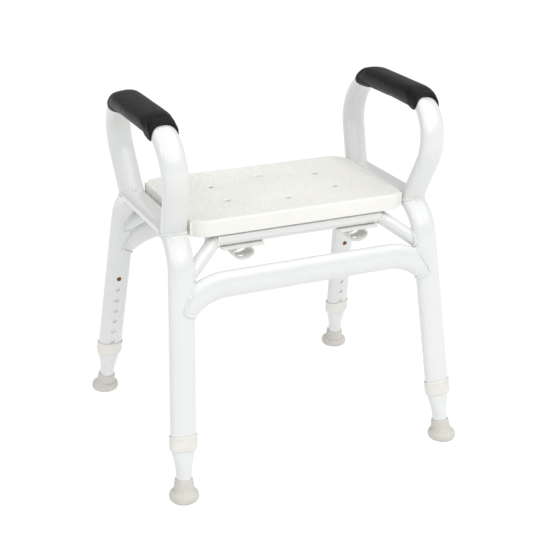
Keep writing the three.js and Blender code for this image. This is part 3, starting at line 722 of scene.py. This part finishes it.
def arm_stations():
    rise = (ARM_HEIGHT - SIDE_RAIL_HEIGHT) / math.cos(ARM_LEAN)
    root = ARM_ROOT_SPACING / 2
    corner = root + rise * math.tan(ARM_POST_TILT)
    corners = [(0, -root, 0), (0, -corner, rise), (0, corner, rise), (0, root, 0)]
    return bent([Vector(point) for point in corners], ARM_BEND_RADIUS)


def arm_rings(side, grow):
    return swept(arm_stations(), X_AXIS, grown_oval(grow), arm_matrix(side))


def end_rail_stations():
    joint = END_RAIL_HEIGHT - END_RAIL_BEND_RADIUS * (1 - math.cos(END_RAIL_DROP))
    corner_x = END_RAIL_STRAIGHT / 2 + END_RAIL_BEND_RADIUS * math.tan(END_RAIL_DROP / 2)
    end_x = leg_point(1, 1, joint).x
    slope = math.cos(RAIL_TILT)
    middle_z = END_RAIL_HEIGHT / slope
    end_z = (END_RAIL_HEIGHT - (end_x - corner_x) * math.tan(END_RAIL_DROP)) / slope
    corners = [(-end_x, 0, end_z), (-corner_x, 0, middle_z), (corner_x, 0, middle_z), (end_x, 0, end_z)]
    return bent([Vector(point) for point in corners], END_RAIL_BEND_RADIUS)


def end_rail_rings(end, grow):
    return swept(end_rail_stations(), Y_AXIS, on_edge(grown_oval(grow)), rail_matrix(end))


def hoop_rings(side, radius):
    front = leg_point(-1, side, HOOP_ROOT_HEIGHT)
    rear = leg_point(1, side, HOOP_ROOT_HEIGHT)
    near = Vector((side * HOOP_X, -CROSS_TUBE_Y, SEAT_FRAME_HEIGHT))
    far = Vector((side * HOOP_X, CROSS_TUBE_Y, SEAT_FRAME_HEIGHT))
    across = Y_AXIS.cross(front - near).normalized()
    return swept(bent([front, near, far, rear], HOOP_BEND_RADIUS), across, circle_outline(radius))


def cross_tube_rings(end, radius):
    y = end * CROSS_TUBE_Y
    ends = [Vector((-HOOP_X, y, SEAT_FRAME_HEIGHT)), Vector((HOOP_X, y, SEAT_FRAME_HEIGHT))]
    return swept(bent(ends, 0), Y_AXIS, circle_outline(radius))


def rod(name, radius, start, end, matrix, sides=32):
    """A solid rod between two heights of a frame of reference."""
    levels = [(radius, start), (radius, end)]
    return lofted(name, stacked(levels, lambda r: circle_outline(r, sides), matrix), powder_coat)


def hole_matrix(end, side, height):
    """A place on a leg's centre line, with +Z out of its face towards the middle of the chair."""
    place = leg_matrix(ENDS[end], SIDES[side]) @ Matrix.Translation((0, 0, height))
    return place @ Matrix.Rotation(ENDS[end] * math.pi / 2, 4, "X")


def hole_cutter(end, side, height, start, reach):
    """A rod through the wall of a leg that faces the middle of the chair."""
    return rod("hole", HOLE_RADIUS, start, reach, hole_matrix(end, side, height))


def build_side_frames():
    """The two bent side tubes, with the adjustment holes through their inner faces."""
    tubes = {}
    for side, sx in SIDES.items():
        name = f"bent_side_tube_{side}"
        piece = tube(name, side_rings(sx, 0), side_rings(sx, -OVAL_WALL), powder_coat)
        holes = []
        for end in ENDS:
            for i in range(HOLE_COUNT):
                height = TOP_HOLE_HEIGHT - i * HOLE_PITCH
                holes.append(hole_cutter(end, side, height, OVAL_RADIUS / 2, 2 * OVAL_RADIUS))
        tubes[side] = placed(carve(piece, holes), "frame", "powder_coat", f"side_frame_{side}")
    return tubes


def plug(rings):
    """A solid copy of a tube, to cope another tube against."""
    return lofted("plug", rings, powder_coat)


def build_armrest_loops(side_tubes):
    for side, sx in SIDES.items():
        outer = arm_rings(sx, 0)
        loop = tube(f"bent_armrest_tube_{side}", outer, arm_rings(sx, -OVAL_WALL), powder_coat)
        carve(loop, [plug(side_rings(sx, 0))])
        placed(loop, "frame", "powder_coat", f"armrest_loop_{side}")
        target = side_tubes[side]
        weld(f"armrest_welds_{side}", end_lines(outer, target, target), seed=1 + sx)


def build_end_rails(side_tubes):
    for end, sy in ENDS.items():
        outer = end_rail_rings(sy, 0)
        rail = tube(f"arched_{end}_tube", outer, end_rail_rings(sy, -OVAL_WALL), powder_coat)
        carve(rail, [plug(side_rings(sx, 0)) for sx in SIDES.values()])
        placed(rail, "frame", "powder_coat", f"{end}_rail")
        loops = end_lines(outer, side_tubes["left"], side_tubes["right"])
        weld(f"{end}_rail_welds", loops, seed=5 + sy)


def build_seat_frame(side_tubes):
    hoops = {}
    for side, sx in SIDES.items():
        outer = hoop_rings(sx, THIN_RADIUS)
        hoop = tube(f"bent_seat_tube_{side}", outer, hoop_rings(sx, THIN_RADIUS - THIN_WALL), powder_coat)
        rails = [plug(end_rail_rings(sy, 0)) for sy in ENDS.values()]
        carve(hoop, [plug(side_rings(sx, 0)), *rails])
        hoops[side] = placed(hoop, "frame", "powder_coat", f"seat_hoop_{side}")
        weld(f"seat_tube_welds_{side}", end_lines(outer, side_tubes[side], side_tubes[side]), seed=9 + sx)
    for end, sy in ENDS.items():
        outer = cross_tube_rings(sy, THIN_RADIUS)
        straight = lofted(f"straight_cross_tube_{end}", outer, powder_coat)
        plugs = [plug(hoop_rings(sx, THIN_RADIUS)) for sx in SIDES.values()]
        reach = 2 * THIN_RADIUS
        carve(straight, plugs + screw_cutters(SEAT_FRAME_HEIGHT - reach, SEAT_FRAME_HEIGHT + reach))
        placed(straight, "frame", "powder_coat", f"seat_cross_tube_{end}")
        loops = end_lines(outer, hoops["left"], hoops["right"])
        weld(f"cross_tube_welds_{end}", loops, seed=13 + sy)


# ------------------------------------------------------------------ seat

SEAT_CORNER_RADIUS = 34 * MM
SEAT_SKIN = 4 * MM
SEAT_EDGE_RADIUS = 3.2 * MM
SEAT_BORDER = 8 * MM                 # plain strip between the edge and the pebbled field
SEAT_FIELD_DROP = 0.3 * MM
SEAT_RIB = 3 * MM
SEAT_BOSS_RADIUS = 6 * MM
SCREW_HOLE_RADIUS = 2.6 * MM
DRAIN_RADIUS = 5.75 * MM
DRAIN_RIM = 1.3 * MM                 # rounding of each drain's edge
DRAIN_RELIEF = 2 * MM                # wider counterbore from below
PEBBLE_PITCH = 3.9 * MM
PEBBLE_SIZE = (2.1 * MM, 2.1 * MM, 0.85 * MM)
DRAIN_COLUMN_X = 109 * MM
DRAIN_ROW_Y = 40 * MM
DRAIN_MIDDLE_Y = 66 * MM
drain_places = [(0, -DRAIN_MIDDLE_Y), (0, DRAIN_MIDDLE_Y)]
drain_places += [(sx * DRAIN_COLUMN_X, sy * DRAIN_ROW_Y) for sx in (-1, 1) for sy in (-1, 1)]
clip_places = {f"{end}_{side}": centre(f"seat_clip_{end}_{side}") for end, side in CORNERS}


def screw_cutters(bottom, top):
    """Rods through the seat screws' clearance holes."""
    rods = []
    for place in clip_places.values():
        middle = Matrix.Translation((place.x, place.y, 0))
        rods.append(rod("hole", SCREW_HOLE_RADIUS, bottom, top, middle, 20))
    return rods


def seat_outline(inset):
    width = seat_high.x - seat_low.x - 2 * inset
    depth = seat_high.y - seat_low.y - 2 * inset
    return rounded_rectangle(width, depth, SEAT_CORNER_RADIUS - inset)


def slab(name, x, y, z, material):
    """A rectangular block between pairs of coordinates."""
    outline = [(x[0], y[0]), (x[1], y[0]), (x[1], y[1]), (x[0], y[1])]
    return lofted(name, [[Vector((a, b, level)) for a, b in outline] for level in z], material)


def drain_cutter(x, y):
    """A drain's bore, flared where it meets the seat's top."""
    levels = [(DRAIN_RADIUS + DRAIN_RELIEF, seat_high.z - 2 * SEAT_SKIN)]
    levels += [(DRAIN_RADIUS + DRAIN_RELIEF, seat_high.z - 0.7 * SEAT_SKIN)]
    levels += [(DRAIN_RADIUS, seat_high.z - 0.6 * SEAT_SKIN)]
    for angle in rounding(4):
        flare = DRAIN_RIM * (1 - math.cos(angle))
        height = seat_high.z - SEAT_FIELD_DROP - DRAIN_RIM * (1 - math.sin(angle))
        levels.append((DRAIN_RADIUS + flare, height))
    levels.append((DRAIN_RADIUS + DRAIN_RIM, seat_high.z + 1 * MM))
    place = Matrix.Translation((x, y, 0))
    return lofted("drain", stacked(levels, lambda r: circle_outline(r, 32), place), seat_plastic)


def build_seat():
    top = seat_high.z
    underside = top - SEAT_SKIN
    levels = [(SEAT_SKIN, underside), (SEAT_SKIN * 0.7, seat_low.z)]
    levels += [(0.6 * MM, seat_low.z), (0, seat_low.z + 0.6 * MM)]
    for angle in rounding(5):
        inset = SEAT_EDGE_RADIUS * (1 - math.cos(angle))
        levels.append((inset, top - SEAT_EDGE_RADIUS * (1 - math.sin(angle))))
    field = SEAT_BORDER + 1.2 * MM
    levels += [(SEAT_BORDER, top), (field, top - SEAT_FIELD_DROP)]
    seat = lofted("moulded_seat", stacked(levels, seat_outline), seat_plastic)
    rib_z = (SEAT_FRAME_HEIGHT + THIN_RADIUS + 0.3 * MM, underside + 1 * MM)
    half = SEAT_RIB / 2
    ribs = []
    for x in (-HOOP_X, -DRAIN_COLUMN_X / 2, DRAIN_COLUMN_X / 2, HOOP_X):
        reach = seat_high.y - SEAT_SKIN / 2
        ribs.append(slab("rib", (x - half, x + half), (-reach, reach), rib_z, seat_plastic))
    for y in (-CROSS_TUBE_Y, 0, CROSS_TUBE_Y):
        reach = seat_high.x - SEAT_SKIN / 2
        ribs.append(slab("rib", (-reach, reach), (y - half, y + half), rib_z, seat_plastic))
    for place in clip_places.values():
        ribs.append(rod("boss", SEAT_BOSS_RADIUS, *rib_z, Matrix.Translation((place.x, place.y, 0))))
    carve(seat, ribs, "UNION")
    carve(seat, [drain_cutter(x, y) for x, y in drain_places])
    carve(seat, screw_cutters(seat_low.z - 1 * MM, underside - 3 * MM))
    placed(seat, "frame", "seat_plastic", "seat")

    face_z = top - SEAT_FIELD_DROP
    sheet = [(field + 1.6 * MM, face_z - 1 * MM), (field + 1.6 * MM, face_z)]
    patch = lofted("seat_pebbles", stacked(sheet, seat_outline), seat_plastic)
    clear = DRAIN_RADIUS + DRAIN_RIM + 1.2 * MM
    spots = []
    for x, y in drain_places:
        spots.append(rod("spot", clear, face_z - 5 * MM, face_z + 5 * MM, Matrix.Translation((x, y, 0))))
    carve(patch, spots)
    face = bmesh.new()
    face.from_mesh(patch.data)
    away = [f for f in face.faces if f.normal.z < 0.9]
    bmesh.ops.delete(face, geom=away, context="FACES")
    face.to_mesh(patch.data)
    face.free()
    pebbles = grow_from(
        patch,
        PEBBLES,
        pitch=PEBBLE_PITCH,
        pebble_size=PEBBLE_SIZE,
        seed=3,
        material=seat_plastic,
    )
    placed(pebbles, "frame", "seat_plastic")


# ------------------------------------------------------------------ seat clips and screws

CLIP_PLATE = (81 * MM, 36 * MM, 3 * MM)
CLIP_LOOP_WIDTH = 41 * MM
CLIP_LOOP_HEIGHT = 25 * MM
CLIP_LOOP_DEPTH = 31 * MM
CLIP_LOOP_WALL = 2.4 * MM
CLIP_HOLE_RADIUS = 5.5 * MM
SCREW_HEAD_RADIUS = 4.5 * MM
SCREW_HEAD_HEIGHT = 3 * MM
SCREW_SHANK_RADIUS = 2.25 * MM


def build_clip(corner):
    """A plate under a cross tube, with a flattened loop hanging from it, open front and rear."""
    name = f"seat_clip_{corner}"
    place = clip_places[corner]
    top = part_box(name)[1].z
    width, depth, thick = CLIP_PLATE
    outline = rounded_rectangle(width, depth, 5 * MM, 6)
    rings = [[Vector((place.x + a, place.y + b, z)) for a, b in outline] for z in (top - thick, top)]
    clip = lofted(f"moulded_clip_{corner}", rings, clip_plastic)
    loop_z = top - CLIP_LOOP_WALL / 2 - CLIP_LOOP_HEIGHT / 2
    hang = Matrix.Translation((place.x, place.y, loop_z)) @ QUARTER_TURN
    half_deep = CLIP_LOOP_DEPTH / 2
    rings = []
    wall = CLIP_LOOP_WALL
    for inset, y in ((0, -half_deep), (0, half_deep), (wall, half_deep), (wall, -half_deep)):
        outline = oval_outline(CLIP_LOOP_WIDTH / 2 - inset, CLIP_LOOP_HEIGHT / 2 - inset, 2, 64)
        rings.append([hang @ Vector((a, b, y)) for a, b in outline])
    loop = lofted("loop", rings, clip_plastic, wrap=True)
    carve(clip, [loop], "UNION")
    under = Matrix.Translation((place.x, place.y, 0))
    access = rod("hole", CLIP_HOLE_RADIUS, top - 2 * CLIP_LOOP_HEIGHT, top - thick, under)
    shank = rod("hole", SCREW_HOLE_RADIUS, top - 2 * thick, top + thick, under, 20)
    carve(clip, [access, shank])
    round_edges(clip, 0.5 * MM)
    placed(clip, "frame", "clip_plastic", name)


def build_screw(corner):
    """A pan-head screw with a six-sided socket."""
    name = f"seat_screw_{corner}"
    low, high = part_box(name)
    seat_z = low.z + SCREW_HEAD_HEIGHT
    levels = [(0.55 * SCREW_HEAD_RADIUS, low.z), (0.85 * SCREW_HEAD_RADIUS, low.z + 0.35 * MM)]
    levels += [(SCREW_HEAD_RADIUS, low.z + 1.4 * MM), (SCREW_HEAD_RADIUS, seat_z)]
    thread = SCREW_SHANK_RADIUS
    levels.append((thread, seat_z))
    pitch = 1.6 * MM
    turns = int((high.z - seat_z - 4 * MM) / pitch)
    for i in range(turns):
        z = seat_z + pitch * (i + 0.5)
        levels += [(thread - 0.35 * MM, z), (thread, z + pitch / 2)]
    levels.append((0.2 * MM, high.z))
    place = Matrix.Translation((centre(name).x, centre(name).y, 0))
    rings = stacked(levels, lambda radius: circle_outline(radius, 24), place)
    screw = lofted(f"socket_screw_{corner}", rings, zinc_steel)
    carve(screw, [rod("socket", 0.42 * SCREW_HEAD_RADIUS, low.z - 1 * MM, low.z + 1.8 * MM, place, 6)])
    placed(screw, "frame", "zinc_steel", name)


# ------------------------------------------------------------------ legs


def build_extension(end, side):
    """The inner leg tube: oval where it slides, drawn down below the collar to a round stem."""
    swage_top = COLLAR_BOTTOM - 0.3 * MM
    swage_bottom = swage_top - SWAGE_LENGTH
    heights = [EXTENSION_BOTTOM, swage_bottom - 2 * MM]
    steps = 12
    heights += [swage_bottom + SWAGE_LENGTH * i / steps for i in range(steps + 1)]
    heights += [swage_top + 2 * MM, EXTENSION_TOP]
    place = leg_matrix(ENDS[end], SIDES[side])
    walls = []
    for inset in (0, EXTENSION_WALL):
        rings = []
        for height in heights:
            drawn = min(1, max(0, (swage_top - height) / SWAGE_LENGTH))
            eased = drawn + 0.35 * drawn * (1 - drawn) * (drawn - 0.5)
            half_width = OVAL_WIDTH / 2 - EXTENSION_INSET
            half_width += (STEM_RADIUS - half_width) * eased
            half_depth = OVAL_DEPTH / 2 - EXTENSION_INSET
            half_depth += (STEM_RADIUS - half_depth) * eased
            fullness = OVAL_FULLNESS + (2 - OVAL_FULLNESS) * eased
            outline = oval_outline(half_width - inset, half_depth - inset, fullness)
            rings.append([place @ Vector((a, b, height)) for a, b in outline])
        walls.append(rings)
    extension = tube(f"drawn_inner_tube_{end}_{side}", *walls, powder_coat)
    carve(extension, [hole_cutter(end, side, TOP_HOLE_HEIGHT, 0, OVAL_RADIUS)])
    placed(extension, f"leg_{end}_{side}", "powder_coat", f"leg_extension_{end}_{side}")


def build_collar(end, side):
    """A plastic ferrule around the end of the leg tube: chamfered foot, plain band, beaded rim."""
    top = COLLAR_BOTTOM + COLLAR_HEIGHT
    ledge = LEG_TUBE_START - 0.3 * MM
    guide = -EXTENSION_INSET + 0.3 * MM
    levels = [
        (guide, COLLAR_BOTTOM),
        (-0.4 * MM, COLLAR_BOTTOM),
        (0.5 * MM, COLLAR_BOTTOM + 0.7 * MM),
        (1.5 * MM, COLLAR_BOTTOM + 5 * MM),
        (1.7 * MM, COLLAR_BOTTOM + 6.2 * MM),
        (1.7 * MM, top - 4 * MM),
        (2.0 * MM, top - 3.4 * MM),
        (2.5 * MM, top - 2.8 * MM),
        (2.5 * MM, top - 0.8 * MM),
        (1.9 * MM, top - 0.1 * MM),
        (1.2 * MM, top),
        (0.3 * MM, top - 0.5 * MM),
        (0.3 * MM, ledge),
        (guide, ledge),
    ]
    rings = stacked(levels, grown_oval, leg_matrix(ENDS[end], SIDES[side]))
    collar = lofted(f"leg_ferrule_{end}_{side}", rings, collar_plastic, wrap=True)
    placed(collar, "frame", "collar_plastic", f"leg_collar_{end}_{side}")


def build_foot(end, side):
    """A rubber foot: a thick rounded flange square to the floor, whose neck turns to follow the leg."""
    place = leg_matrix(ENDS[end], SIDES[side])
    upright = Matrix.Translation(place.translation)
    follow_from = 9 * MM
    follow_to = 24 * MM
    socket = STEM_RADIUS + 0.3 * MM
    profile = [
        (0.35 * FOOT_RADIUS, 1.4 * MM),
        (0.38 * FOOT_RADIUS, 0),
        (0.58 * FOOT_RADIUS, 0),
        (0.61 * FOOT_RADIUS, 1.4 * MM),
        (0.68 * FOOT_RADIUS, 1.4 * MM),
        (0.71 * FOOT_RADIUS, 0),
        (FOOT_RADIUS - 4.5 * MM, 0),
        (FOOT_RADIUS - 2.4 * MM, 0.6 * MM),
        (FOOT_RADIUS - 0.9 * MM, 2.4 * MM),
        (FOOT_RADIUS - 0.1 * MM, 5 * MM),
        (FOOT_RADIUS, 8 * MM),
        (FOOT_RADIUS - 0.5 * MM, 10.6 * MM),
        (FOOT_RADIUS - 1.5 * MM, 12.6 * MM),
        (FOOT_RADIUS - 3.2 * MM, 14 * MM),
        (FOOT_RADIUS - 5.6 * MM, 14.8 * MM),
        (FOOT_RADIUS - 7 * MM, 15.8 * MM),
        (FOOT_RADIUS - 7.9 * MM, 18 * MM),
        (FOOT_RADIUS - 8.6 * MM, 23 * MM),
        (FOOT_RADIUS - 9.4 * MM, 30 * MM),
        (FOOT_RADIUS - 10.2 * MM, FOOT_HEIGHT - 2 * MM),
        (FOOT_RADIUS - 10.7 * MM, FOOT_HEIGHT - 0.6 * MM),
        (FOOT_RADIUS - 11.2 * MM, FOOT_HEIGHT),
        (socket, FOOT_HEIGHT - 0.3 * MM),
        (socket, EXTENSION_BOTTOM - 0.3 * MM),
    ]
    rings = []
    for i, (radius, height) in enumerate(profile):
        share = min(1, max(0, (height - follow_from) / (follow_to - follow_from)))
        share = 1 if i == len(profile) - 1 else share * share * (3 - 2 * share)
        ring = [Vector((a, b, height)) for a, b in circle_outline(radius, 56)]
        rings.append([(upright @ p).lerp(place @ p, share) for p in ring])
    foot = lofted(f"moulded_foot_{end}_{side}", rings, foot_rubber)
    placed(foot, f"leg_{end}_{side}", "foot_rubber", f"rubber_foot_{end}_{side}")


def build_button(end, side):
    """The sprung button's dome and shank, with the flange that keeps it inside the leg."""
    face = OVAL_RADIUS
    flange_top = OVAL_RADIUS - EXTENSION_INSET - EXTENSION_WALL - 0.3 * MM
    tip = face + BUTTON_TIP
    radius = 4.1 * MM
    profile = [(6.4 * MM, flange_top - 1.5 * MM), (6.4 * MM, flange_top)]
    profile += [(radius, flange_top), (radius, tip - 1.8 * MM)]
    for angle in rounding(6)[1:-1]:
        profile.append((radius * math.cos(angle), tip - 1.8 * MM * (1 - math.sin(angle))))
    profile.append((0.3 * MM, tip))
    place = hole_matrix(end, side, TOP_HOLE_HEIGHT)
    rings = stacked(profile, lambda r: circle_outline(r, 32), place)
    button = lofted(f"domed_button_{end}_{side}", rings, button_brass)
    placed(button, f"button_{end}_{side}", "button_brass", f"push_button_{end}_{side}")


# ------------------------------------------------------------------ armrest pads

PAD_LENGTH = 228 * MM
PAD_SCALLOP = 13 * MM                # how much further the pad reaches along its narrow sides
PAD_THICKNESS = 6.6 * MM
PAD_TAPER = 40 * MM                  # length over which the sides thin towards their tips
PAD_TIP_THINNING = 0.7
PAD_CLEARANCE = 0.4 * MM
PAD_HEM = 5 * MM
PAD_RINGS = 96
PAD_PUFF = 1.6 * MM                  # the most that the stuffing may push a point out
PAD_PRESSURE = 3.0
PAD_FRAMES = 18
STITCH_PITCH = 4.2 * MM
STITCH_RADIUS = 0.45 * MM


def grip_point(stations, lengths, distance):
    """The station at a distance along the grip."""
    for i in range(1, len(lengths)):
        if distance <= lengths[i] or i == len(lengths) - 1:
            share = (distance - lengths[i - 1]) / (lengths[i] - lengths[i - 1])
            point = stations[i - 1][0].lerp(stations[i][0], share)
            return point, stations[i - 1][1].lerp(stations[i][1], share).normalized()


def pad_surface(side):
    """A function that gives a point of the pad from its share along, outline index and grow."""
    stations = arm_stations()
    lengths = [0]
    for before, after in zip(stations, stations[1:]):
        lengths.append(lengths[-1] + (after[0] - before[0]).length)
    middle = lengths[-1] / 2
    matrix = arm_matrix(side)
    flat = grown_oval(0)
    half_width = OVAL_WIDTH / 2

    def point_at(along, index, grow):
        narrowness = (abs(flat[index][0]) / half_width) ** 3
        reach = PAD_LENGTH / 2 - PAD_SCALLOP * (1 - narrowness)
        near_end = max(0, 1 - reach * (1 - abs(along)) / PAD_TAPER)
        thinned = 1 - narrowness * PAD_TIP_THINNING * near_end ** 2
        a, b = grown_oval(PAD_CLEARANCE + (grow - PAD_CLEARANCE) * thinned)[index]
        point, tangent = grip_point(stations, lengths, middle + along * reach)
        out = tangent.cross(X_AXIS).normalized()
        return matrix @ (point + X_AXIS * a + out * b)

    return point_at, len(flat)


def swell(piece, held, frames, pressure, most):
    """Inflates a piece with cloth and pressure, holding some points, and caps each point's move."""
    scene = bpy.context.scene
    rest = [vertex.co.copy() for vertex in piece.data.vertices]
    pins = piece.vertex_groups.new(name="held")
    pins.add(held, 1.0, "REPLACE")
    cloth = piece.modifiers.new("swell", "CLOTH")
    cloth.settings.vertex_group_mass = "held"
    cloth.settings.use_pressure = True
    cloth.settings.uniform_pressure_force = pressure
    cloth.settings.shrink_min = -0.02
    cloth.settings.effector_weights.gravity = 0
    cloth.settings.quality = 5
    cloth.point_cache.frame_start = 1
    cloth.point_cache.frame_end = frames
    for number in range(1, frames + 1):
        scene.frame_set(number)
    graph = bpy.context.evaluated_depsgraph_get()
    moved = [vertex.co.copy() for vertex in piece.evaluated_get(graph).data.vertices]
    piece.modifiers.clear()
    piece.vertex_groups.clear()
    scene.frame_set(1)
    for vertex, before, after in zip(piece.data.vertices, rest, moved):
        step = after - before
        if step.length > most:
            step = step.normalized() * most
        vertex.co = before + step


def build_pad(side):
    """A stuffed vinyl sleeve over the grip, with rolled hems scalloped at both ends."""
    point_at, around = pad_surface(SIDES[side])
    full = PAD_THICKNESS - 0.6 * MM
    roll = [(1.0, PAD_CLEARANCE), (1.004, 0.5 * full), (1.002, 0.8 * full), (0.99, 0.92 * full)]
    rows = [(-share, grow) for share, grow in roll]
    outer_share = 0.975
    rows += [(outer_share * (2 * i / PAD_RINGS - 1), full) for i in range(PAD_RINGS + 1)]
    rows += [(share, grow) for share, grow in roll[::-1]]
    inner = 24
    rows += [(0.99 * (1 - 2 * i / inner), PAD_CLEARANCE) for i in range(inner + 1)]
    rings = [[point_at(along, i, grow) for i in range(around)] for along, grow in rows]
    pad = lofted(f"stuffed_armrest_sleeve_{side}", rings, pad_vinyl, wrap=True)
    hem_share = 1 - PAD_HEM / (PAD_LENGTH / 2)
    held = []
    for row, (along, grow) in enumerate(rows):
        if grow < full or abs(along) > hem_share:
            held += range(row * around, (row + 1) * around)
    swell(pad, held, frames=PAD_FRAMES, pressure=PAD_PRESSURE, most=PAD_PUFF)
    placed(pad, "frame", "pad_vinyl", f"armrest_pad_{side}")
    loops = []
    for end in (-1, 1):
        loops.append([point_at(end * hem_share, i, full + 0.1 * MM) for i in range(around)])
    stitches = grow_from(
        closed_line(f"armrest_hem_stitches_{side}", loops),
        BEADS,
        pitch=STITCH_PITCH,
        bead_size=(STITCH_RADIUS, STITCH_RADIUS, 0.4 * STITCH_PITCH),
        unevenness=0.08,
        core_radius=0.15 * MM,
        seed=20,
        material=pad_thread,
    )
    placed(stitches, "frame", "pad_vinyl")


# ------------------------------------------------------------------ the chair

side_tubes = build_side_frames()
build_armrest_loops(side_tubes)
build_end_rails(side_tubes)
build_seat_frame(side_tubes)
build_seat()
for end, side in CORNERS:
    build_clip(f"{end}_{side}")
    build_screw(f"{end}_{side}")
    build_extension(end, side)
    build_collar(end, side)
    build_foot(end, side)
    build_button(end, side)
    spring = frame["nodes"][f"button_spring_{end}_{side}"]
    spring.data.materials.clear()
    spring.data.materials.append(spring_steel)
for side in SIDES:
    build_pad(side)

# ------------------------------------------------------------------ floor, light and camera

FLOOR_SIZE = 60
CAMERA_AZIMUTH = math.radians(-25.824)
CAMERA_ELEVATION = math.radians(23.122)
CAMERA_DISTANCE = 2.2953
CAMERA_TARGET = Vector((0.0006, -0.0003, 0.3003))
CAMERA_LENS = 78.12
CAMERA_ROLL = math.radians(1.277)
CAMERA_SHIFT = (0.007, -0.002)
WORLD_STRENGTH = 0.52
SUN_FROM = (0.05, -0.4, 0.92)
SUN_STRENGTH = 1.6
SUN_SPREAD = math.radians(90)
SOFTBOX_AIM = Vector((0, 0, 0.4))


def build_floor():
    corner = FLOOR_SIZE / 2
    mesh = bpy.data.meshes.new("studio_floor")
    corners = [(-corner, -corner, 0), (corner, -corner, 0), (corner, corner, 0), (-corner, corner, 0)]
    mesh.from_pydata(corners, [], [(0, 1, 2, 3)])
    link("studio_floor", mesh, studio_sweep)


def add_softbox(name, place, width, height, power):
    """A rectangular area light that faces a point of the chair."""
    light = bpy.data.lights.new(name, "AREA")
    light.shape = "RECTANGLE"
    light.size = width
    light.size_y = height
    light.energy = power
    lamp = bpy.data.objects.new(name, light)
    lamp.location = place
    lamp.rotation_euler = (SOFTBOX_AIM - Vector(place)).to_track_quat("-Z", "Y").to_euler()
    bpy.context.scene.collection.objects.link(lamp)


def add_soft_sun(direction, strength, spread):
    """Broad even light from far away, from a direction given by a vector towards it."""
    light = bpy.data.lights.new("bounced_flash", "SUN")
    light.energy = strength
    light.angle = spread
    lamp = bpy.data.objects.new("bounced_flash", light)
    lamp.rotation_euler = Vector(direction).to_track_quat("Z", "Y").to_euler()
    bpy.context.scene.collection.objects.link(lamp)


def light_studio():
    world = bpy.data.worlds.new("white_studio")
    world.use_nodes = True
    world.node_tree.nodes["Background"].inputs["Color"].default_value = colour("ffffff")
    world.node_tree.nodes["Background"].inputs["Strength"].default_value = WORLD_STRENGTH
    bpy.context.scene.world = world
    add_soft_sun(SUN_FROM, SUN_STRENGTH, SUN_SPREAD)
    add_softbox("main_softbox", (0.6, -1.9, 2.1), 0.22, 0.6, 9)
    add_softbox("side_softbox", (-2.2, -1.2, 1.9), 0.2, 0.8, 3)


def place_camera():
    cosine = math.cos(CAMERA_ELEVATION)
    back = Vector((
        math.sin(CAMERA_AZIMUTH) * cosine,
        -math.cos(CAMERA_AZIMUTH) * cosine,
        math.sin(CAMERA_ELEVATION),
    ))
    lens = bpy.data.cameras.new("camera")
    lens.lens = CAMERA_LENS
    lens.sensor_width = 36
    lens.shift_x, lens.shift_y = CAMERA_SHIFT
    camera = bpy.data.objects.new("camera", lens)
    camera.rotation_mode = "QUATERNION"
    camera.location = CAMERA_TARGET + back * CAMERA_DISTANCE
    aimed = (-back).to_track_quat("-Z", "Y")
    camera.rotation_quaternion = aimed @ Matrix.Rotation(CAMERA_ROLL, 3, "Z").to_quaternion()
    bpy.context.scene.collection.objects.link(camera)
    bpy.context.scene.camera = camera


build_floor()
light_studio()
place_camera()
bpy.context.scene.view_settings.view_transform = "Standard"
